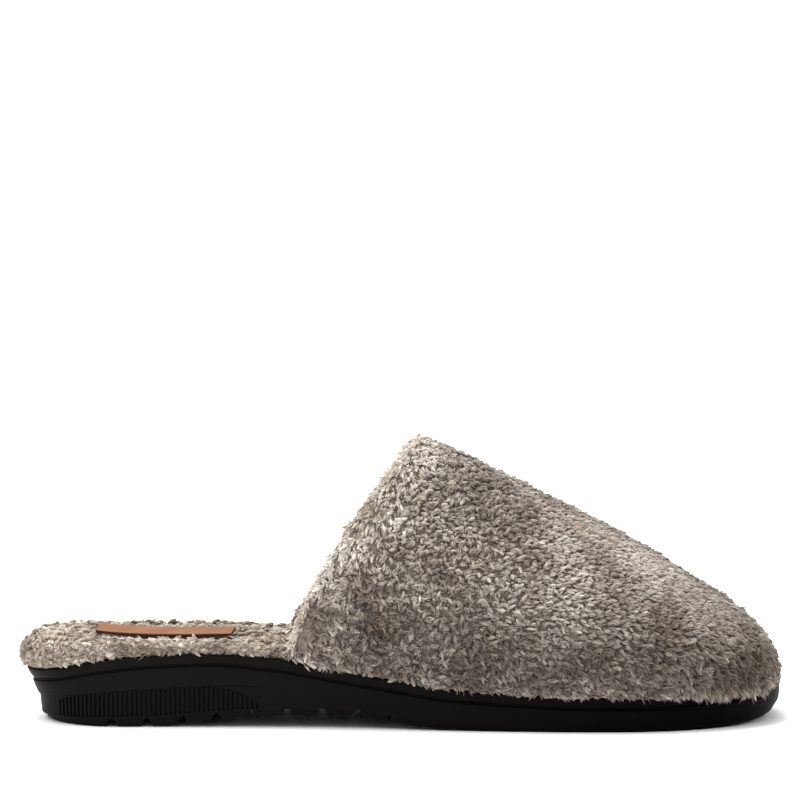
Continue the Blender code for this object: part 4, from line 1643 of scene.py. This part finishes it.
@dataclass
class Footbed:
    """Foam footbed covered with long curly fleece."""

    last: Last
    upper: Upper
    wall: float = 2.2
    stations: int = 84
    columns: int = 24
    dish: float = 2.0
    bank: float = 2.2
    heel_overhang: float = 3.3
    flank_overhang: float = 0.6
    overhang_end: tuple[float, float] = (0.03, 0.12)
    pile_depth: float = 2.4
    edge: tuple[Round, ...] = (
        Round(3.4, 0.06), Round(2.3, 0.15), Round(1.7, 0.36),
        Round(1.9, 0.56), Round(2.8, 0.72), Round(4.2, 0.82),
    )
    under: Round = Round(3.6, 0.0)
    crown: Round = Round(6.0, 0.86)
    crown_inset: float = 2.7
    tuft_lines: int = 30
    line_steps: int = 400
    tuft_density: float = 0.18
    edge_tufts: int = 1500
    edge_end: float = 0.47
    inner_share: float = 0.15
    pile_end: float = 0.95
    hidden_band: tuple[float, float] = (0.50, 0.62)
    pad_drop: float = 0.8
    label_reach: float = 5.0
    edge_places: int = 900
    edge_sink: float = 0.3
    top_groom: Groom = Groom((4.0, 5.0), (0.35, 0.12), (1.75, 0.2), (0.56, 0.14))
    edge_groom: Groom = Groom((3.0, 3.9), (0.6, 0.15), (2.1, 0.2), (0.50, 0.14))
    pile: Pile = Pile((
        Strand(1, 1.6, 0.0, 0.0, 0.06, 0.32, 4, ((0.25, 0.8), (0.62, 1.0), (0.9, 0.7))),
        Strand(6, 0.8, 0.95, 0.55, 0.14, 0.30, light=0.97),
        Strand(3, 1.3, 1.8, 0.0, 0.35, 0.30, reach=0.64, light=0.65),
    ))
    edge_pile: Pile = Pile((
        Strand(1, 1.5, 0.0, 0.0, 0.06, 0.30, 4, ((0.25, 0.8), (0.62, 1.0), (0.9, 0.7))),
        Strand(8, 0.65, 0.8, 0.55, 0.10, 0.26, light=0.97),
    ))
    label: Patch = Patch()

    def outset(self, station: Array) -> Array:
        """Distance of the edge from the rim.

        Args:
            station: Stations along the sole.

        Returns:
            The distances, outside the rim behind the upper and inside it within the upper.
        """
        back = fade(*self.overhang_end, station)
        loose = self.flank_overhang + (self.heel_overhang - self.flank_overhang) * back
        held = self.upper.outset - self.wall - 2 * self.last.gap
        wing = self.upper.wing_station[1]
        inside = smooth_step(wing - 0.030, wing - 0.008, station)
        return loose + (held - loose) * inside

    def ring(self, line: Round, station: Array, side: Array) -> Array:
        """Points of one line round the footbed's edge.

        Args:
            line: The line.
            station: Stations of the loop.
            side: The side of the foot at each.

        Returns:
            Points of the slipper's own lines.
        """
        x, y = self.last.offset_plan(station, side, self.outset(station) - line.inset)
        under = PROFILE.at("rim", station) + self.last.gap
        return np.column_stack((x, y, under + line.share * (PROFILE.at("bed", station) - under)))

    def crown_height(self, station: Array, share: Array) -> Array:
        """Height of the top above its edge, dished and banked up to the inner side.

        Args:
            station: Stations along the sole.
            share: Shares across, from the outer side to the inner.

        Returns:
            The heights.
        """
        ends = arc(station / self.last.heel_round, 2.0) * arc((1 - station) / self.last.toe_round, 2.0)
        across = 2 * share - 1
        return ends * (self.bank * across - self.dish) * (1 - across**2)

    def sides(self, station: Array) -> tuple[Array, Array]:
        """Outer and inner side of the crown at each station."""
        inset = self.crown_inset - self.outset(station)
        outer, inner = (self.last.rim_offset(station, side) for side in (-1.0, 1.0))
        return outer + inset, inner - inset

    def height(self, x: Array, y: Array) -> Array:
        """Height that the tips of the pile reach.

        Args:
            x: Places along the sole.
            y: Places across it.

        Returns:
            The heights there.
        """
        station = x / self.last.length
        outer, inner = self.sides(station)
        share = np.clip((y - outer) / (inner - outer), 0, 1)
        return PROFILE.at("bed", station) + self.crown_height(station, share)

    def build_pad(self) -> Piece:
        """Model the foam pad under the pile."""
        station, side = self.last.plan_loop(self.stations)
        place = self.last.place
        under = cross_grid(place(self.ring(self.under, station, side)), 2)
        rings = [place(self.ring(line, station, side)) for line in self.edge + (self.crown,)]

        def shape(row: int, share: Array, line: Array) -> Array:
            """Dish a row of the top and keep it below the pile."""
            rim = 1 - np.abs(2 * share - 1) ** 6
            drop = self.crown_height(station[row], share) - self.pad_drop * rim
            return line + np.outer(drop, (0, 0, MM))

        body = lofted(under, rings, cross_grid(rings[-1], self.columns, shape))
        # The pad's dark colour partly paints the shade between the tufts.
        finish = BackingFinish("knitted_backing_beige", "#75695e", "#96897c")
        piece = finish_piece("footbed_pad", body, finish.material())
        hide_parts("insole")
        return piece

    def scatter(self, rng: Chance) -> tuple[Array, Array]:
        """Places for tufts on the top, in lines from the heel to the toe.

        Args:
            rng: Source of chance.

        Returns:
            Stations, fewer where the upper hides them, and shares across.
        """
        steps = (np.arange(self.line_steps) + 0.5) / self.line_steps
        hidden = smooth_step(*self.hidden_band, steps)
        outer, inner = self.sides(steps)
        width = np.maximum(inner - outer, 0) / self.tuft_lines
        chance = self.tuft_density * (1 - (1 - self.inner_share) * hidden)
        grown = np.cumsum(width * chance) * self.last.length / self.line_steps
        station, share = [], []
        for line in range(self.tuft_lines):
            count = np.arange(rng.uniform(), grown[-1], 1.0)
            jitter = rng.uniform(-0.3, 0.3, len(count))
            station.append(np.interp(count + jitter, grown, steps))
            share.append((line + 0.5 + rng.uniform(-0.45, 0.45, len(count))) / self.tuft_lines)
        return np.concatenate(station), np.concatenate(share)

    def top_tufts(self, rng: Chance) -> Tufts:
        """Curly tufts over the top, which swirl all ways and lie flatter along the label.

        Args:
            rng: Source of chance.

        Returns:
            The tufts.
        """
        station, share = self.scatter(rng)
        outer, inner = self.sides(station)
        x, y = station * self.last.length, outer + (inner - outer) * share
        step = 0.5
        slope_x = (self.height(x + step, y) - self.height(x - step, y)) / (2 * step)
        slope_y = (self.height(x, y + step) - self.height(x, y - step)) / (2 * step)
        normal = unit(np.column_stack((-slope_x, -slope_y, np.ones_like(x))))
        count = len(x)
        heading = np.tile((1.0, 0.0, 0.0), (count, 1))
        away = self.label.distance(self.last, x, y)
        by_label = fade(0.1, 2.0, away)
        edge = smooth_step(0.7, 0.95, np.abs(2 * share - 1))
        heel = fade(0.02, 0.05, station)
        swirl = rng.uniform(-math.pi, math.pi, count)
        beside = self.label.turn + math.pi * (swirl > 0) + 0.08 * swirl
        calm = rng.uniform(size=count) < np.maximum(edge, heel)
        swirl = np.where(calm, 0.25 * swirl, swirl)
        swirl = np.where(away < self.label_reach, beside, swirl)
        flow = turned(on_surface(heading, normal), normal, swirl)
        edge = np.maximum(edge, 0.5 * heel)
        root = np.column_stack((x, y, self.height(x, y) - self.pile_depth))
        length = self.top_groom.lengths(rng, count) * (1 - 0.35 * by_label)
        lean = self.top_groom.leans(rng, count)
        lean += np.outer(edge, (0.25, 0.3)) + np.outer(by_label, (0.45, 0.3))
        tone = np.clip(self.top_groom.tones(rng, count) + 0.15 * edge, 0, 1)
        tufts = Tufts(root, normal, flow, length, lean, tone)
        return tufts.pick((by_label < 1) & (station < self.pile_end))

    def side_tufts(self, rng: Chance) -> Tufts:
        """Tufts round the edge, which lie along it.

        Args:
            rng: Source of chance.

        Returns:
            The tufts.
        """
        count = self.edge_tufts
        station, side = self.last.plan_loop(self.edge_places)
        pick = rng.choice(np.flatnonzero(station < self.edge_end), count)
        share = rng.uniform(0.12, 0.97, count)
        line = self.ring(Round(0.0, 0.0), station, side)
        outward = unit(line - self.ring(Round(1.0, 0.0), station, side))[pick]
        insets, shares = zip(*self.edge, self.crown)
        inset = np.interp(share, shares, insets) + self.edge_sink
        under = PROFILE.at("rim", station[pick]) + self.last.gap
        root = line[pick] - outward * inset[:, None]
        thickness = PROFILE.at("bed", station[pick]) - under
        root[:, 2] = under + share * thickness - self.edge_sink
        tilt = (smooth_step(0.40, 1.0, share) * 1.25)[:, None]
        normal = unit(outward * np.cos(tilt) + np.array((0, 0, 1.0)) * np.sin(tilt))
        drop = np.tile((0.0, 0.0, -1.0), (count, 1))
        low = fade(0.15, 0.5, share)
        sideways = np.maximum(rng.normal(1.4 + 0.3 * low, 0.35 - 0.2 * low), 1.1)
        sideways = sideways * rng.choice((-1.0, 1.0), count)
        flow = turned(on_surface(drop, normal), normal, sideways)
        length = self.edge_groom.lengths(rng, count)
        lean = self.edge_groom.leans(rng, count)
        tone = np.clip(self.edge_groom.tones(rng, count), 0, 1)
        return Tufts(root, normal, flow, length, lean, tone)

    def build(self) -> list[Piece]:
        """Model and dress the pad and its pile."""
        rng = np.random.default_rng(SEED + 1)
        material = FleeceFinish("curly_fleece_beige", "#85786b", "#b9ab9b", "#e6dbcb").material()
        pieces = [
            pile.grow(f"footbed_fleece_{title}", tufts(rng), self.last, material, "insole", rng)
            for pile, title, tufts in (
                (self.pile, "top", self.top_tufts),
                (self.edge_pile, "edge", self.side_tufts),
            )
        ]
        return [self.build_pad(), *pieces]


# Label


@dataclass
class Label:
    """Bare leather label that lies on the heel of the footbed."""

    last: Last
    footbed: Footbed
    thickness: float = 1.1
    tilt: float = math.radians(3.0)
    lift: float = 0.25
    cells: tuple[int, int] = (46, 12)
    edge_round: float = 0.25
    corner_curl: float = 0.5
    sharp_angle: float = 50.0
    cut_slope: float = 0.8

    def build(self) -> Piece:
        """Model the label over the footbed's crown, round its edges and dress it."""
        rows, columns = self.cells
        patch = self.footbed.label
        lengthwise = np.linspace(-0.5, 0.5, rows + 1) * patch.length
        crosswise = np.linspace(-0.5, 0.5, columns + 1) * patch.width
        u, v = np.meshgrid(lengthwise, crosswise, indexing="ij")
        x = patch.station * self.last.length + u * math.cos(patch.turn) - v * math.sin(patch.turn)
        y = patch.across + u * math.sin(patch.turn) + v * math.cos(patch.turn)
        z = self.footbed.height(x, y) + self.lift + self.last.gap + v * math.tan(self.tilt)
        z = z + self.corner_curl * np.abs(2 * u / patch.length) ** 4
        bm = bmesh.new()
        add_grid(bm, self.last.place(np.stack((x, y, z), axis=-1)))
        sides = bmesh.ops.extrude_face_region(bm, geom=list(bm.faces))["geom"]
        raised = [part for part in sides if isinstance(part, Vert)]
        bmesh.ops.translate(bm, verts=raised, vec=(0, 0, self.thickness * MM))
        bmesh.ops.recalc_face_normals(bm, faces=bm.faces)
        sharp = math.radians(self.sharp_angle)
        rim = [edge for edge in bm.edges if edge.calc_face_angle(0) > sharp]
        bmesh.ops.bevel(
            bm, geom=rim, offset=self.edge_round * MM, affect="EDGES",
            segments=2, profile=0.5, material=-1,
        )
        cut = bm.verts.layers.float.new("cut")
        for vert in bm.verts:
            vert[cut] = float(all(face.normal.z < self.cut_slope for face in vert.link_faces))
        material = LeatherFinish().material()
        piece = finish_piece("leather_label", bm, material, sharp=self.sharp_angle)
        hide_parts("label")
        return piece


# Studio


@dataclass
class Softbox:
    """A square soft light that points at the slipper."""

    name: str
    place: tuple[float, float, float]
    size: float
    power: float
    aim: tuple[float, float, float] = (0.0, 0.0, 0.04)

    def build(self) -> Piece:
        """Hang the light."""
        light = bpy.data.lights.new(self.name, "AREA")
        light.energy = self.power
        light.size = self.size
        lamp = new_object(self.name, light)
        lamp.location = self.place
        towards = Vector(self.aim) - Vector(self.place)
        lamp.rotation_euler = towards.to_track_quat("-Z", "Y").to_euler()
        return lamp


@dataclass
class Studio:
    """White paper floor, soft lights and the camera."""

    floor_size: float = 400.0
    world_colour: str = WHITE
    world_strength: float = 1.05
    camera_place: tuple[float, float, float] = (0.0, -1.4923, 0.1966)
    camera_pitch: float = math.radians(86.652)
    lens: float = 195.4
    sensor: float = 36.0
    lights: list[Softbox] = field(default_factory=lambda: [
        Softbox("key_softbox", (-1.2, -1.1, 1.5), 1.2, 14.0),
        Softbox("top_softbox", (-0.35, 0.25, 1.6), 1.2, 34.0),
        Softbox("fill_softbox", (1.5, -1.2, 0.9), 0.9, 2.0),
    ])

    def build(self) -> None:
        """Lay the floor, light the set and place the camera."""
        bm = bmesh.new()
        bmesh.ops.create_grid(bm, x_segments=1, y_segments=1, size=self.floor_size / 2)
        floor = new_object("studio_floor", new_mesh("studio_floor", bm))
        floor.data.materials.append(PaperFinish().material())
        floor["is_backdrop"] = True
        world = bpy.data.worlds.new("white_studio")
        world.use_nodes = True
        sky = world.node_tree.nodes["Background"]
        sky.inputs["Color"].default_value = linear(self.world_colour)
        sky.inputs["Strength"].default_value = self.world_strength
        bpy.context.scene.world = world
        for light in self.lights:
            light.build()
        lens = bpy.data.cameras.new("photo_camera")
        lens.lens = self.lens
        lens.sensor_width = self.sensor
        camera = new_object("photo_camera", lens)
        camera.location = self.camera_place
        camera.rotation_euler = (self.camera_pitch, 0.0, 0.0)
        bpy.context.scene.camera = camera
        bpy.context.scene.view_settings.view_transform = "Standard"


def main() -> None:
    """Build the slipper's pieces and the studio."""
    logging.basicConfig(level=logging.INFO, format="%(name)s %(message)s")
    last = Last()
    Studio().build()
    upper = Upper(last)
    footbed = Footbed(last, upper)
    pieces = [UnitSole(last).build(), *footbed.build(), *upper.build(), Label(last, footbed).build()]
    for piece in pieces:
        report(piece)
    boxes = {"cad": CAD_BOX, "visual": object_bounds()}
    {name: [list(corner) for corner in box] for name, box in boxes.items()}


if __name__ == "__main__":
    main()
